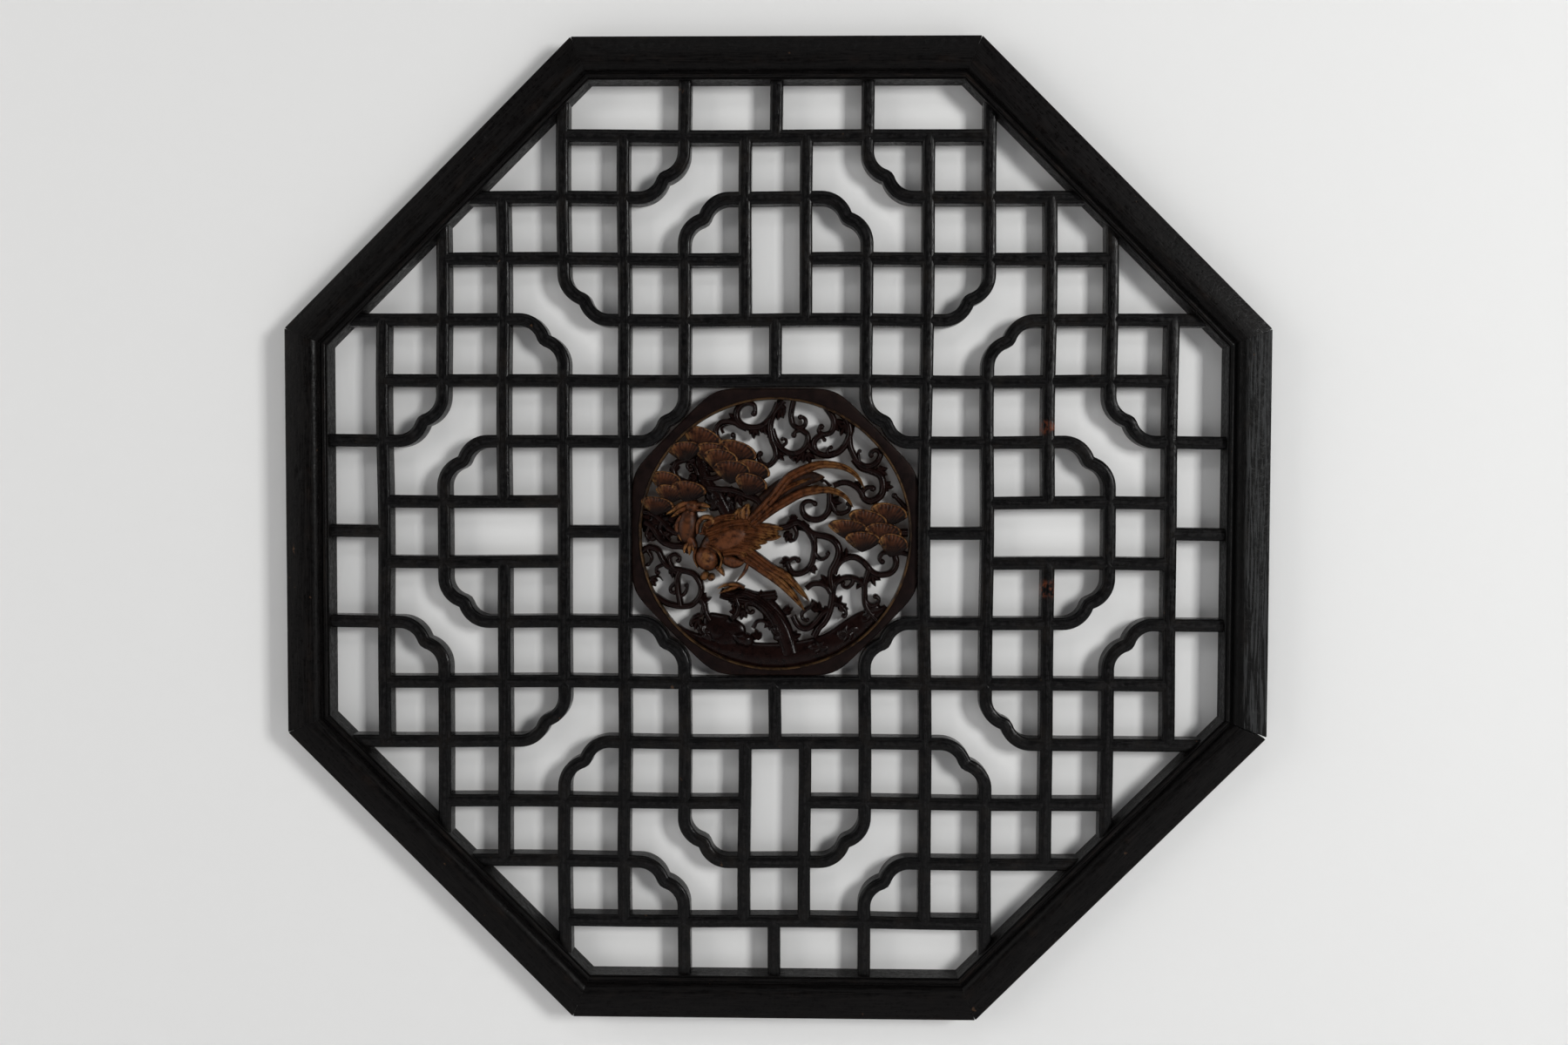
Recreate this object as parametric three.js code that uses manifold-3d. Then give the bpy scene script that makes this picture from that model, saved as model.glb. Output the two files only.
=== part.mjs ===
// Carved wall panel: an octagonal frame, a lattice of bead-fronted bars and cusped brackets,
// and a pierced and carved roundel in the middle square.
// Millimetres. X is to the right and Z is up as the panel hangs; its back lies on the plane y = 0
// and its front looks along -Y. The origin is the middle of the back of the top frame member.

import * as THREE from 'three';
import { mergeVertices } from 'three/addons/utils/BufferGeometryUtils.js';
import Module from 'manifold-3d';

const wasm = await Module();
wasm.setup();

// Lattice
const PITCH = 52; // from one lattice line to the next
const CELLS = 13; // cells across the whole lattice
const STRUT_REACH = 46; // from the outermost lattice line to the frame's inner wall
const BAR_WIDTH = 11;
const BAR_BACK = 1; // back of the bars, in front of the panel's back
const BAR_DEPTH = 17.5;
const BEAD_RISE = 2.4; // how far the bead's crown stands above its shoulders
const LOBE_RADIUS = 22; // middle line of a bracket's two lobes
const LOBE_SWEEP = 78; // degrees
const LOBE_STEPS = 3;
const FIT = 0.3; // clearance between neighbouring pieces

// Frame
const FRAME_WIDTH = 36;
const SIDE_DEPTH = 25.5; // outer wall, up to the arris
const ARRIS = 1.5;
const CREST_RISE = 3; // from the arris to the crest of the broad face
const SHOULDER_WIDTH = 8; // rounded step down from the crest
const SHOULDER_DROP = 7;
const CHANNEL_WIDTH = 1.5;
const FILLET_WIDTH = 5.5; // narrow inner moulding
const FILLET_RISE = 2; // above the channel
const CORNER_EASE = 1.2; // rounding of the outer corners
const CORNER_EASE_REACH = 3;
const OPEN_MITRE = 1.4; // the joint that has opened, at the lower right
const FACE_STEPS = 4;
const SHOULDER_STEPS = 4;

// Roundel
const PLANK_BACK = 2;
const PLANK_DEPTH = 12;
const RIM_WIDTH = 7.5; // from the plank's flat sides to the middle of the bead ring
const RING_DROP = 1.5; // the ring is cut a little below the plank's middle
const RING_WIDTH = 3;
const RING_RISE = 1.6; // above the rim
const CARVING_BACK = 3.5;
const VINE_DEPTH = 9; // depths of the carving's parts, from its back
const CLUSTER_DEPTH = 12.5; // pine clusters and rocks
const BIRD_DEPTH = 16.5;
const RING_STEPS = 32;
const VINE_WIDTH = 6.4;
const VINE_STEPS = 2; // straight stretches between two places of a vine
const CURL_SHARE = 0.65; // width of a vine's curls, as a share of its own
const BLADE_ROOT = 0.35; // width of a feather's tip, as a share of its own
const DOME_SHARE = 0.45; // flat top of a swelling, as a share of its outline
const GROUND_WIDTH = 25.5; // band of earth along the foot of the ring
const SKETCH_RADIUS = 156; // the carving is set out on a drawing where the ring has this radius
const SKETCH_MIDDLE = [893, 613]; // and this middle, counted to the right and downwards

// Worked out from the sizes above
const latticeReach = (CELLS / 2) * PITCH;
const innerWall = latticeReach + STRUT_REACH;
const outerWall = innerWall + FRAME_WIDTH;
const eighth = Math.PI / 4;
const halfSideSlope = Math.tan(eighth / 2);
const panelMiddleZ = -(outerWall - FRAME_WIDTH / 2);
const barFront = BAR_BACK + BAR_DEPTH;
const lapDepth = BAR_BACK + BAR_DEPTH / 2;
const buttGap = BAR_WIDTH / 2 + FIT;
const squareReach = 2.5 * PITCH; // middle of the panel to the long bars
const plankReach = squareReach - buttGap;
const ringRadius = plankReach - RIM_WIDTH;

const ebonised = { color: 0x17120f, roughness: 0.42, metalness: 0 };
const carvedWood = { color: 0x4a2c1a, roughness: 0.5, metalness: 0 };

const panel = new THREE.Group();
panel.name = 'carved_wall_panel';
const pieces = new THREE.Group();
pieces.position.z = panelMiddleZ;
panel.add(pieces);

const point = (x, z) => new THREE.Vector2(x, z);

// A closed triangle mesh becomes a solid with its faces out
function solidFrom(positions, index) {
  let volume = 0;
  const corner = (i) => new THREE.Vector3().fromArray(positions, 3 * i);
  for (let i = 0; i < index.length; i += 3) {
    volume += corner(index[i]).dot(corner(index[i + 1]).cross(corner(index[i + 2])));
  }
  const triangles = Uint32Array.from(index);
  if (volume < 0) triangles.reverse();
  const vertices = Float32Array.from(positions);
  return new wasm.Manifold(new wasm.Mesh({ numProp: 3, vertProperties: vertices, triVerts: triangles }));
}

function solidFromGeometry(source) {
  const bare = source.clone();
  bare.deleteAttribute('normal');
  bare.deleteAttribute('uv');
  const merged = mergeVertices(bare);
  return solidFrom(merged.attributes.position.array, merged.index.array);
}

// Skin a row of rings; every ring has the same corners as the outline that closes the two ends
function skin(outline, rings) {
  const count = outline.length;
  const positions = rings.flat().flatMap((p) => [p.x, p.y, p.z]);
  const index = [];
  for (let r = 0; r + 1 < rings.length; r += 1) {
    for (let i = 0; i < count; i += 1) {
      const j = (i + 1) % count;
      const here = r * count;
      const next = here + count;
      index.push(here + i, here + j, next + j, here + i, next + j, next + i);
    }
  }
  const last = (rings.length - 1) * count;
  const outlineArea = THREE.ShapeUtils.area(outline);
  for (const face of THREE.ShapeUtils.triangulateShape(outline, [])) {
    const faceArea = THREE.ShapeUtils.area(face.map((i) => outline[i]));
    const [a, b, c] = faceArea * outlineArea > 0 ? face : [...face].reverse();
    index.push(c, b, a, last + a, last + b, last + c);
  }
  return solidFrom(positions, index);
}

// One ring of a section (across, depth in front of the back) where a path passes a cutting line
function ringAt(place, along, cut, section) {
  const side = point(-along.y, along.x);
  const lean = side.dot(cut) / along.dot(cut);
  return section.map((s) => new THREE.Vector3(
    place.x + s.x * (side.x - lean * along.x),
    -s.y,
    place.y + s.x * (side.y - lean * along.y),
  ));
}

// Sweep a section along a flat path, mitred at every bend; sectionAt may vary along the path
function sweep(path, sectionAt, startCut, endCut) {
  const heading = (i) => path[i + 1].clone().sub(path[i]).normalize();
  const last = path.length - 1;
  const rings = path.map((place, i) => {
    const before = heading(Math.max(i - 1, 0));
    const after = heading(Math.min(i, last - 1));
    let cut = before.clone().add(after).normalize();
    if (i === 0 && startCut) cut = startCut;
    if (i === last && endCut) cut = endCut;
    return ringAt(place, after, cut, sectionAt(i / last));
  });
  return skin(sectionAt(0), rings);
}

// A plain block between two corners, depth counted in front of the back
function block(x0, x1, depth0, depth1, z0, z1) {
  const box = new THREE.BoxGeometry(x1 - x0, depth1 - depth0, z1 - z0);
  box.translate((x0 + x1) / 2, -(depth0 + depth1) / 2, (z0 + z1) / 2);
  return solidFromGeometry(box);
}

function addPiece(name, solid, look) {
  const mesh = solid.getMesh();
  const shape = new THREE.BufferGeometry();
  shape.setAttribute('position', new THREE.Float32BufferAttribute(mesh.vertProperties, 3));
  shape.setIndex(new THREE.Uint32BufferAttribute(mesh.triVerts, 1));
  shape.computeVertexNormals();
  const piece = new THREE.Mesh(shape, new THREE.MeshStandardMaterial({ ...look, flatShading: true }));
  piece.name = name;
  pieces.add(piece);
}

// Frame: the moulding's outline, from the outer edge inwards
function frameOutline() {
  const crestAt = FRAME_WIDTH - FILLET_WIDTH - CHANNEL_WIDTH - SHOULDER_WIDTH;
  const crest = SIDE_DEPTH + CREST_RISE;
  const channel = crest - SHOULDER_DROP;
  const outline = [point(0, 0), point(0, SIDE_DEPTH - ARRIS)];
  for (let i = 0; i <= FACE_STEPS; i += 1) {
    const t = i / FACE_STEPS;
    const rise = CREST_RISE * Math.sin((t * Math.PI) / 2);
    outline.push(point(ARRIS + t * (crestAt - ARRIS), SIDE_DEPTH + rise));
  }
  for (let i = 1; i <= SHOULDER_STEPS; i += 1) {
    const turn = (i / SHOULDER_STEPS) * (Math.PI / 2);
    outline.push(point(crestAt + SHOULDER_WIDTH * Math.sin(turn), channel + SHOULDER_DROP * Math.cos(turn)));
  }
  const filletAt = FRAME_WIDTH - FILLET_WIDTH;
  outline.push(point(filletAt, channel), point(filletAt + FILLET_RISE / 2, channel + FILLET_RISE));
  outline.push(point(FRAME_WIDTH, channel + FILLET_RISE), point(FRAME_WIDTH, 0));
  return outline;
}

// One frame member lying along the top, cut off on the mitre lines at both ends
function frameMember(gapAtStart, gapAtEnd) {
  const outline = frameOutline();
  const mitreLength = (inset, gap) => {
    const ease = Math.max(0, 1 - inset / CORNER_EASE_REACH) ** 2 * CORNER_EASE;
    return (outerWall - inset) * halfSideSlope - gap / (2 * Math.cos(eighth / 2)) - ease;
  };
  const ring = (sign, gap) => outline.map((p) => new THREE.Vector3(
    sign * mitreLength(p.x, gap),
    -p.y,
    outerWall - p.x,
  ));
  return skin(outline, [ring(-1, gapAtStart), ring(1, gapAtEnd)]);
}

const memberNames = ['top', 'top_right', 'right', 'bottom_right', 'bottom', 'bottom_left', 'left', 'top_left'];
const openCorner = memberNames.indexOf('right');
memberNames.forEach((name, k) => {
  const gapAtStart = k === openCorner + 1 ? OPEN_MITRE : FIT;
  const gapAtEnd = k === openCorner ? OPEN_MITRE : FIT;
  const turn = THREE.MathUtils.radToDeg(k * eighth);
  addPiece(`frame_${name}`, frameMember(gapAtStart, gapAtEnd).rotate([0, turn, 0]), ebonised);
});

// Lattice: the bars' section is a rounded bead on a deep web
const barSection = [
  point(-BAR_WIDTH / 2, BAR_BACK),
  point(BAR_WIDTH / 2, BAR_BACK),
  point(BAR_WIDTH / 2, barFront - BEAD_RISE),
  point(0, barFront),
  point(-BAR_WIDTH / 2, barFront - BEAD_RISE),
];

const line = (number) => (number - CELLS / 2) * PITCH;

// How a bar ends: short of a neighbour, on the middle line of its own piece, or at the frame
const BUTT = 'butt';
const OWN = 'own';
const FRAME = 'frame';

// An upright bar of the top quarter; lines are numbered from the left and from the top
function upright(column, topEnd, topLine, footEnd, footLine) {
  const x = line(column);
  const foot = -line(footLine) + (footEnd === BUTT ? buttGap : 0);
  if (topEnd !== FRAME) {
    const top = -line(topLine) - (topEnd === BUTT ? buttGap : 0);
    return { path: [point(x, top), point(x, foot)] };
  }
  const wall = innerWall - FIT;
  if (Math.abs(x) < wall * halfSideSlope) return { path: [point(x, wall), point(x, foot)] };
  const slanted = wall * Math.SQRT2 - Math.abs(x);
  return { path: [point(x, slanted), point(x, foot)], startCut: point(Math.sign(x), 1).normalize() };
}

function crossRail(row, leftEnd, leftColumn, rightEnd, rightColumn) {
  const z = -line(row);
  const left = line(leftColumn) + (leftEnd === BUTT ? buttGap : 0);
  const right = line(rightColumn) - (rightEnd === BUTT ? buttGap : 0);
  return { path: [point(left, z), point(right, z)] };
}

// A cusped bracket in the cell between two lines: it leaves the first crossing, runs round the
// cell on the side away from its corner, and reaches the second crossing
function bracket(corner, first, second, firstEnd, secondEnd) {
  const sweepAngle = THREE.MathUtils.degToRad(LOBE_SWEEP);
  const centre = point(PITCH - LOBE_RADIUS, PITCH - LOBE_RADIUS * (1 - Math.cos(sweepAngle) + Math.sin(sweepAngle)));
  const start = (end) => (end === BUTT ? buttGap : 0);
  const lobe = [];
  for (let i = 0; i <= LOBE_STEPS; i += 1) {
    const turn = (i / LOBE_STEPS) * sweepAngle;
    lobe.push(point(centre.x + LOBE_RADIUS * Math.cos(turn), centre.y + LOBE_RADIUS * Math.sin(turn)));
  }
  const mirrored = lobe.slice(0, -1).reverse().map((p) => point(p.y, p.x));
  const inCell = [point(PITCH, start(firstEnd)), ...lobe, ...mirrored, point(start(secondEnd), PITCH)];
  const origin = point(line(corner[0]), -line(corner[1]));
  const across = point(line(first[0]), -line(first[1])).sub(origin).normalize();
  const down = point(line(second[0]), -line(second[1])).sub(origin).normalize();
  return {
    curved: true,
    path: inCell.map((p) => origin.clone().addScaledVector(across, p.x).addScaledVector(down, p.y)),
  };
}

// The pieces of the top quarter; the others are turned and mirrored copies
const centreLine = CELLS / 2;
const quarterPieces = {
  outer_rail: [
    crossRail(0, BUTT, 3, BUTT, 10),
    upright(5, FRAME, 0, OWN, 0),
    upright(8, FRAME, 0, OWN, 0),
    bracket([4, 0], [5, 0], [4, 1], OWN, BUTT),
    bracket([9, 0], [8, 0], [9, 1], OWN, BUTT),
  ],
  outer_strut: [upright(centreLine, FRAME, 0, BUTT, 0)],
  arch: [
    upright(6, BUTT, 0, BUTT, 3),
    upright(7, BUTT, 0, BUTT, 3),
    crossRail(1, OWN, 6, OWN, 7),
    bracket([6, 2], [5, 2], [6, 1], BUTT, OWN),
    bracket([7, 2], [8, 2], [7, 1], BUTT, OWN),
  ],
  inner_rail: [
    crossRail(3, BUTT, 4, BUTT, 9),
    upright(5, BUTT, 2, BUTT, 4),
    upright(8, BUTT, 2, BUTT, 4),
    upright(centreLine, OWN, 3, BUTT, 4),
  ],
};
const sidePieces = {
  side_post: [upright(1, FRAME, 0, BUTT, 4)],
  short_post: [upright(3, FRAME, 0, BUTT, 2)],
  tie: [crossRail(2, BUTT, 1, BUTT, 6), bracket([4, 2], [3, 2], [4, 3], OWN, BUTT)],
};
const longBar = [upright(4, BUTT, 0, BUTT, 13)];
const squareBracket = [bracket([4, 4], [5, 4], [4, 5], BUTT, BUTT)];

function turned(bars, quarters, mirrored) {
  const turn = (p) => {
    let q = point(mirrored ? -p.x : p.x, p.y);
    for (let i = 0; i < quarters; i += 1) q = point(q.y, -q.x);
    return q;
  };
  return bars.map((bar) => ({
    ...bar,
    path: bar.path.map(turn),
    startCut: bar.startCut && turn(bar.startCut),
  }));
}

const sides = [
  { name: 'top', ends: ['left', 'right'] },
  { name: 'right', ends: ['upper', 'lower'] },
  { name: 'bottom', ends: ['right', 'left'] },
  { name: 'left', ends: ['lower', 'upper'] },
];
const longBarNames = ['left', 'top', 'right', 'bottom'];
const squareCorners = ['top_left', 'top_right', 'bottom_right', 'bottom_left'];
const lattice = [];
sides.forEach((side, k) => {
  lattice.push({ name: `long_bar_${longBarNames[k]}`, bars: turned(longBar, k, false) });
  lattice.push({ name: `square_bracket_${squareCorners[k]}`, bars: turned(squareBracket, k, false) });
  for (const [name, bars] of Object.entries(quarterPieces)) {
    lattice.push({ name: `${name}_${side.name}`, bars: turned(bars, k, false) });
  }
  for (const [name, bars] of Object.entries(sidePieces)) {
    side.ends.forEach((end, m) => {
      lattice.push({ name: `${name}_${side.name}_${end}`, bars: turned(bars, k, m === 1) });
    });
  }
});

// Where two bars of different pieces cross they are halved together: the upright keeps its
// front and the rail keeps its back
const isUpright = (bar) => !bar.curved && Math.abs(bar.path[0].x - bar.path[1].x) < FIT;
const passes = (value, a, b) => Math.min(a, b) < value - BAR_WIDTH / 2 && value + BAR_WIDTH / 2 < Math.max(a, b);

function cross(post, rail) {
  const x = post.path[0].x;
  const z = rail.path[0].y;
  const crossing = passes(x, rail.path[0].x, rail.path[1].x) && passes(z, post.path[0].y, post.path[1].y);
  return crossing ? point(x, z) : null;
}

function halvings(piece) {
  const cuts = [];
  for (const other of lattice) {
    if (other === piece) continue;
    for (const mine of piece.bars) {
      for (const theirs of other.bars) {
        if (mine.curved || theirs.curved || isUpright(mine) === isUpright(theirs)) continue;
        const at = isUpright(mine) ? cross(mine, theirs) : cross(theirs, mine);
        if (!at) continue;
        const back = BAR_BACK - FIT;
        const front = barFront + FIT;
        if (isUpright(mine)) {
          cuts.push(block(at.x - BAR_WIDTH, at.x + BAR_WIDTH, back, lapDepth + FIT / 2, at.y - buttGap, at.y + buttGap));
        } else {
          cuts.push(block(at.x - buttGap, at.x + buttGap, lapDepth - FIT / 2, front, at.y - BAR_WIDTH, at.y + BAR_WIDTH));
        }
      }
    }
  }
  return cuts;
}

for (const piece of lattice) {
  const bars = piece.bars.map((bar) => sweep(bar.path, () => barSection, bar.startCut));
  const whole = bars.reduce((sum, bar) => sum.add(bar));
  const cut = halvings(piece).reduce((rest, notch) => rest.subtract(notch), whole);
  addPiece(piece.name, cut, ebonised);
}

// Roundel: everything is set out on the drawing and scaled to the ring
const sketchUnit = ringRadius / SKETCH_RADIUS;

// A place on the ring itself, at a bearing in degrees below the horizontal
function onRing(bearing, inset = 0) {
  const turn = THREE.MathUtils.degToRad(bearing);
  const radius = SKETCH_RADIUS - inset;
  return [SKETCH_MIDDLE[0] + radius * Math.cos(turn), SKETCH_MIDDLE[1] + radius * Math.sin(turn)];
}

function sketch([across, down]) {
  return point((across - SKETCH_MIDDLE[0]) * sketchUnit, -RING_DROP - (down - SKETCH_MIDDLE[1]) * sketchUnit);
}

// The plank fills the middle square; its corners are cut off to clear the square's brackets
function plank() {
  const sweepAngle = THREE.MathUtils.degToRad(LOBE_SWEEP);
  const lobeEnd = PITCH - LOBE_RADIUS * (1 - Math.cos(sweepAngle) + Math.sin(sweepAngle));
  const belly = (PITCH - LOBE_RADIUS + lobeEnd) / Math.SQRT2 + LOBE_RADIUS + buttGap;
  const cornerReach = squareReach * Math.SQRT2 - belly;
  const shape = new THREE.Shape();
  for (let i = 0; i < 8; i += 1) {
    const flat = i % 2 === 0 ? plankReach : cornerReach;
    const next = i % 2 === 0 ? cornerReach : plankReach;
    const along = (next - flat * Math.cos(eighth)) / Math.sin(eighth);
    const turn = i * eighth;
    const x = flat * Math.cos(turn) - along * Math.sin(turn);
    const z = flat * Math.sin(turn) + along * Math.cos(turn);
    if (i === 0) shape.moveTo(x, z);
    else shape.lineTo(x, z);
  }
  shape.closePath();
  const hole = new THREE.Path();
  hole.absarc(0, -RING_DROP, ringRadius, 0, 2 * Math.PI, false);
  shape.holes.push(hole);
  const board = new THREE.ExtrudeGeometry(shape, {
    depth: PLANK_DEPTH, bevelEnabled: false, curveSegments: RING_STEPS,
  });
  board.rotateX(Math.PI / 2);
  board.translate(0, -PLANK_BACK, 0);
  return solidFromGeometry(board);
}

// The bead ring stands on the edge of the hole and reaches a little into it
function beadRing() {
  const rim = PLANK_BACK + PLANK_DEPTH;
  const profile = [
    new THREE.Vector2(ringRadius - RING_WIDTH / 2, -(PLANK_BACK + CARVING_BACK)),
    new THREE.Vector2(ringRadius + RING_WIDTH / 2, -(PLANK_BACK + CARVING_BACK)),
    new THREE.Vector2(ringRadius + RING_WIDTH / 2, -(rim + RING_RISE)),
    new THREE.Vector2(ringRadius - RING_WIDTH / 2, -(rim + RING_RISE)),
  ];
  const ring = new THREE.LatheGeometry([...profile, profile[0]], RING_STEPS);
  ring.translate(0, 0, -RING_DROP);
  return solidFromGeometry(ring);
}

// A carved stroke: a ridge that follows a smooth line through places of the drawing
function stroke(places, widthAt, depth, steps = 1) {
  const curve = new THREE.SplineCurve(places.map(sketch));
  const path = curve.getPoints(steps * (places.length - 1));
  return sweep(path, (t) => {
    const half = widthAt(t) / 2;
    return [point(-half, CARVING_BACK), point(half, CARVING_BACK), point(0, CARVING_BACK + depth)];
  });
}

// A vine is fullest along its middle and thins into its curls
const vineWidth = (t) => VINE_WIDTH * (1 - (1 - CURL_SHARE) * Math.abs(2 * t - 1) ** 3);
const vine = (...places) => stroke(places, vineWidth, VINE_DEPTH, VINE_STEPS);

// A blade, its width counted on the drawing, is fullest a third of its way from the root
const bladeShare = (t) => BLADE_ROOT + (1 - BLADE_ROOT) * Math.sin((Math.PI * (1 + 3 * t)) / 4) ** 0.7;
const blade = (width, depth, ...places) => stroke(places, (t) => width * sketchUnit * bladeShare(t), depth);

// A carved swelling: an outline on the drawing, walls up to a shoulder, then a domed top
function swelling(middle, outline, depth) {
  const levels = [[1, 0], [1, 0.5], [DOME_SHARE, 1]];
  const rings = levels.map(([share, rise]) => outline.map(([across, down]) => {
    const p = sketch([middle[0] + across * share, middle[1] + down * share]);
    return new THREE.Vector3(p.x, -(CARVING_BACK + rise * depth), p.y);
  }));
  return skin(outline.map(([across, down]) => point(across, down)), rings);
}

function oval(middle, halfLength, halfWidth, tilt, depth, sides = 9) {
  const lean = THREE.MathUtils.degToRad(tilt);
  const outline = [];
  for (let i = 0; i < sides; i += 1) {
    const turn = (i / sides) * 2 * Math.PI;
    const along = halfLength * Math.cos(turn);
    const across = halfWidth * Math.sin(turn);
    outline.push([along * Math.cos(lean) + across * Math.sin(lean), across * Math.cos(lean) - along * Math.sin(lean)]);
  }
  return swelling(middle, outline, depth);
}

// A pine cluster is a half round fan that opens upwards, leaning by some degrees
function fan(middle, radius, tilt) {
  const lean = THREE.MathUtils.degToRad(tilt);
  const outline = [];
  const ribs = 5;
  for (let i = 0; i <= ribs; i += 1) {
    const turn = (i / ribs) * Math.PI + lean;
    outline.push([radius * Math.cos(turn), -radius * Math.sin(turn)]);
  }
  outline.push([0.4 * radius * Math.sin(lean), 0.4 * radius * Math.cos(lean)]);
  return swelling(middle, outline, CLUSTER_DEPTH);
}

const vines = [
  vine([865, 480], [866, 471], [855, 471], [850, 483], [867, 492], [884, 486], onRing(-87)),
  vine([852, 484], [835, 485], [826, 495], [833, 507], [843, 500]),
  vine(onRing(-88), [888, 490], [897, 516], [886, 531], [877, 521]),
  vine([892, 502], [911, 521], [930, 508], [924, 494], [915, 498]),
  vine(onRing(-83), [912, 484], [926, 488], [922, 478]),
  vine(onRing(-64), [960, 491], [950, 497], [943, 492]),
  vine([930, 505], [940, 519], [963, 518], [977, 500], onRing(-55)),
  vine(onRing(-56), [980, 520], [996, 537], [1012, 524], [1003, 519]),
  vine([998, 536], [1018, 546], [1018, 569], [999, 572], [994, 560]),
  vine([956, 572], [963, 556], [982, 555], [994, 564]),
  vine([924, 577], [926, 592], [945, 596], [956, 573]),
  vine([917, 585], [922, 600], [935, 613], [937, 640], [922, 658], [908, 648]),
  vine([933, 612], [959, 618], [965, 642], [957, 667], [957, 700], [938, 738]),
  vine([963, 634], [951, 636], [940, 643]),
  vine([957, 682], [942, 668], [928, 676]),
  vine([957, 688], [941, 696], [936, 713], [920, 724]),
  vine([962, 648], [985, 639], [1003, 655], [1022, 661], [1032, 643], [1018, 634], [1003, 614]),
  vine(onRing(2), [1026, 612], [1000, 612], [980, 608]),
  vine([1002, 657], [996, 685], [1006, 712]),
  vine([999, 669], [975, 663], [961, 680]),
  vine([958, 690], [973, 702], [968, 720]),
  vine(onRing(173), [757, 630], [768, 648], [798, 657], [808, 676], [796, 695], onRing(152)),
  vine([784, 655], [780, 676], [783, 696]),
  vine([804, 689], [815, 704], [824, 716]),
  vine([810, 698], [798, 708], [796, 722]),
  vine(onRing(-176), [756, 612], [766, 626], [790, 627]),
  vine([800, 524], [808, 548], [825, 567], [838, 606]),
  vine([807, 544], [793, 536], [780, 533]),
];

const clusters = [
  fan([811, 503], 17, 10), fan([789, 517], 17, 20), fan([829, 521], 16, 0), fan([851, 519], 14, -10),
  fan([839, 537], 17, 0), fan([868, 541], 17, -15), fan([864, 557], 14, -20), fan([771, 530], 13, 30),
  fan([763, 549], 15, 20), fan([772, 565], 15, 10), fan([795, 563], 15, 0), fan([755, 580], 14, 20),
  fan([1026, 590], 16, -10), fan([1000, 597], 15, 0), fan([978, 606], 14, 10), fan([1020, 610], 16, -10),
  fan([997, 620], 15, 0), fan([1034, 624], 14, -10),
];

// A band of earth lies along the foot of the ring, between two bearings below the horizontal
function groundBand(fromDegrees, toDegrees) {
  const inset = GROUND_WIDTH / 2 / sketchUnit;
  const bearings = [0, 0.25, 0.5, 0.75, 1].map((t) => THREE.MathUtils.lerp(fromDegrees, toDegrees, t));
  return stroke(bearings.map((bearing) => onRing(bearing, inset)), () => GROUND_WIDTH, VINE_DEPTH);
}

const ground = [
  oval([832, 722], 24, 18, -20, CLUSTER_DEPTH),
  oval([872, 688], 30, 13, 0, CLUSTER_DEPTH),
  blade(34, CLUSTER_DEPTH, [880, 688], [894, 706], [904, 728], [912, 750]),
  groundBand(132, 36),
];

const firstBird = [
  oval([840, 617], 32, 15, 24, BIRD_DEPTH, 10),
  oval([815, 645], 15, 13, 40, BIRD_DEPTH),
  blade(24, 0.85 * BIRD_DEPTH, [828, 618], [819, 634], [814, 650]),
  blade(7, 0.8 * BIRD_DEPTH, [822, 650], [832, 662]),
  blade(18, 0.95 * BIRD_DEPTH, [826, 622], [856, 616], [888, 608]),
  blade(14, 0.8 * BIRD_DEPTH, [812, 614], [836, 596], [866, 584]),
  blade(12, 0.8 * BIRD_DEPTH, [860, 598], [894, 561], [940, 530], [980, 537], [993, 556]),
  blade(10, 0.75 * BIRD_DEPTH, [862, 606], [890, 586], [938, 560], [982, 580]),
  blade(13, 0.8 * BIRD_DEPTH, [852, 624], [881, 650], [935, 689]),
  blade(12, 0.75 * BIRD_DEPTH, [850, 628], [876, 654], [928, 703]),
  blade(11, 0.75 * BIRD_DEPTH, [858, 608], [878, 612], [899, 611]),
  blade(12, 0.7 * BIRD_DEPTH, [853, 632], [860, 650], [850, 670], [836, 680]),
];

const secondBird = [
  oval([792, 604], 24, 14, 80, 0.9 * BIRD_DEPTH),
  oval([797, 580], 11, 9, 0, 0.9 * BIRD_DEPTH, 8),
  blade(8, 0.7 * BIRD_DEPTH, [800, 580], [818, 581]),
  blade(8, 0.7 * BIRD_DEPTH, [796, 581], [775, 584]),
  blade(12, 0.8 * BIRD_DEPTH, [800, 596], [816, 602], [806, 628]),
];

const carving = [...vines, ...clusters, ...ground, ...firstBird, ...secondBird];
const clipRadius = ringRadius + RING_WIDTH / 4;
const disc = new THREE.CylinderGeometry(clipRadius, clipRadius, 2 * BAR_DEPTH, RING_STEPS);
disc.translate(0, -BAR_DEPTH, -RING_DROP);
const inside = carving.reduce((sum, next) => sum.add(next)).intersect(solidFromGeometry(disc));
addPiece('roundel', plank().add(beadRing()).add(inside), carvedWood);

export default panel;
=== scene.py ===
# %% [markdown]
# # An octagonal lattice panel with a carved roundel
#
# The object is a wall panel of blackened wood, eight-sided, about 84 cm across. A moulded frame
# holds a lattice of thin bead-fronted bars. Small cusped brackets soften the lattice's corners,
# and a pierced board in the middle square is carved with two birds, pine boughs and scrolls.
#
# The solids of the panel come from CAD and are loaded first. They already give every size, so
# this file measures them and dresses them: the same bars, but with a true round bead, the joints
# that show between them, the small unevenness of hand work, and the fine carving.

# %% Load the panel
import itertools
import math

import bmesh
import bpy
import numpy as np
from mathutils import Matrix, Vector


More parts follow.
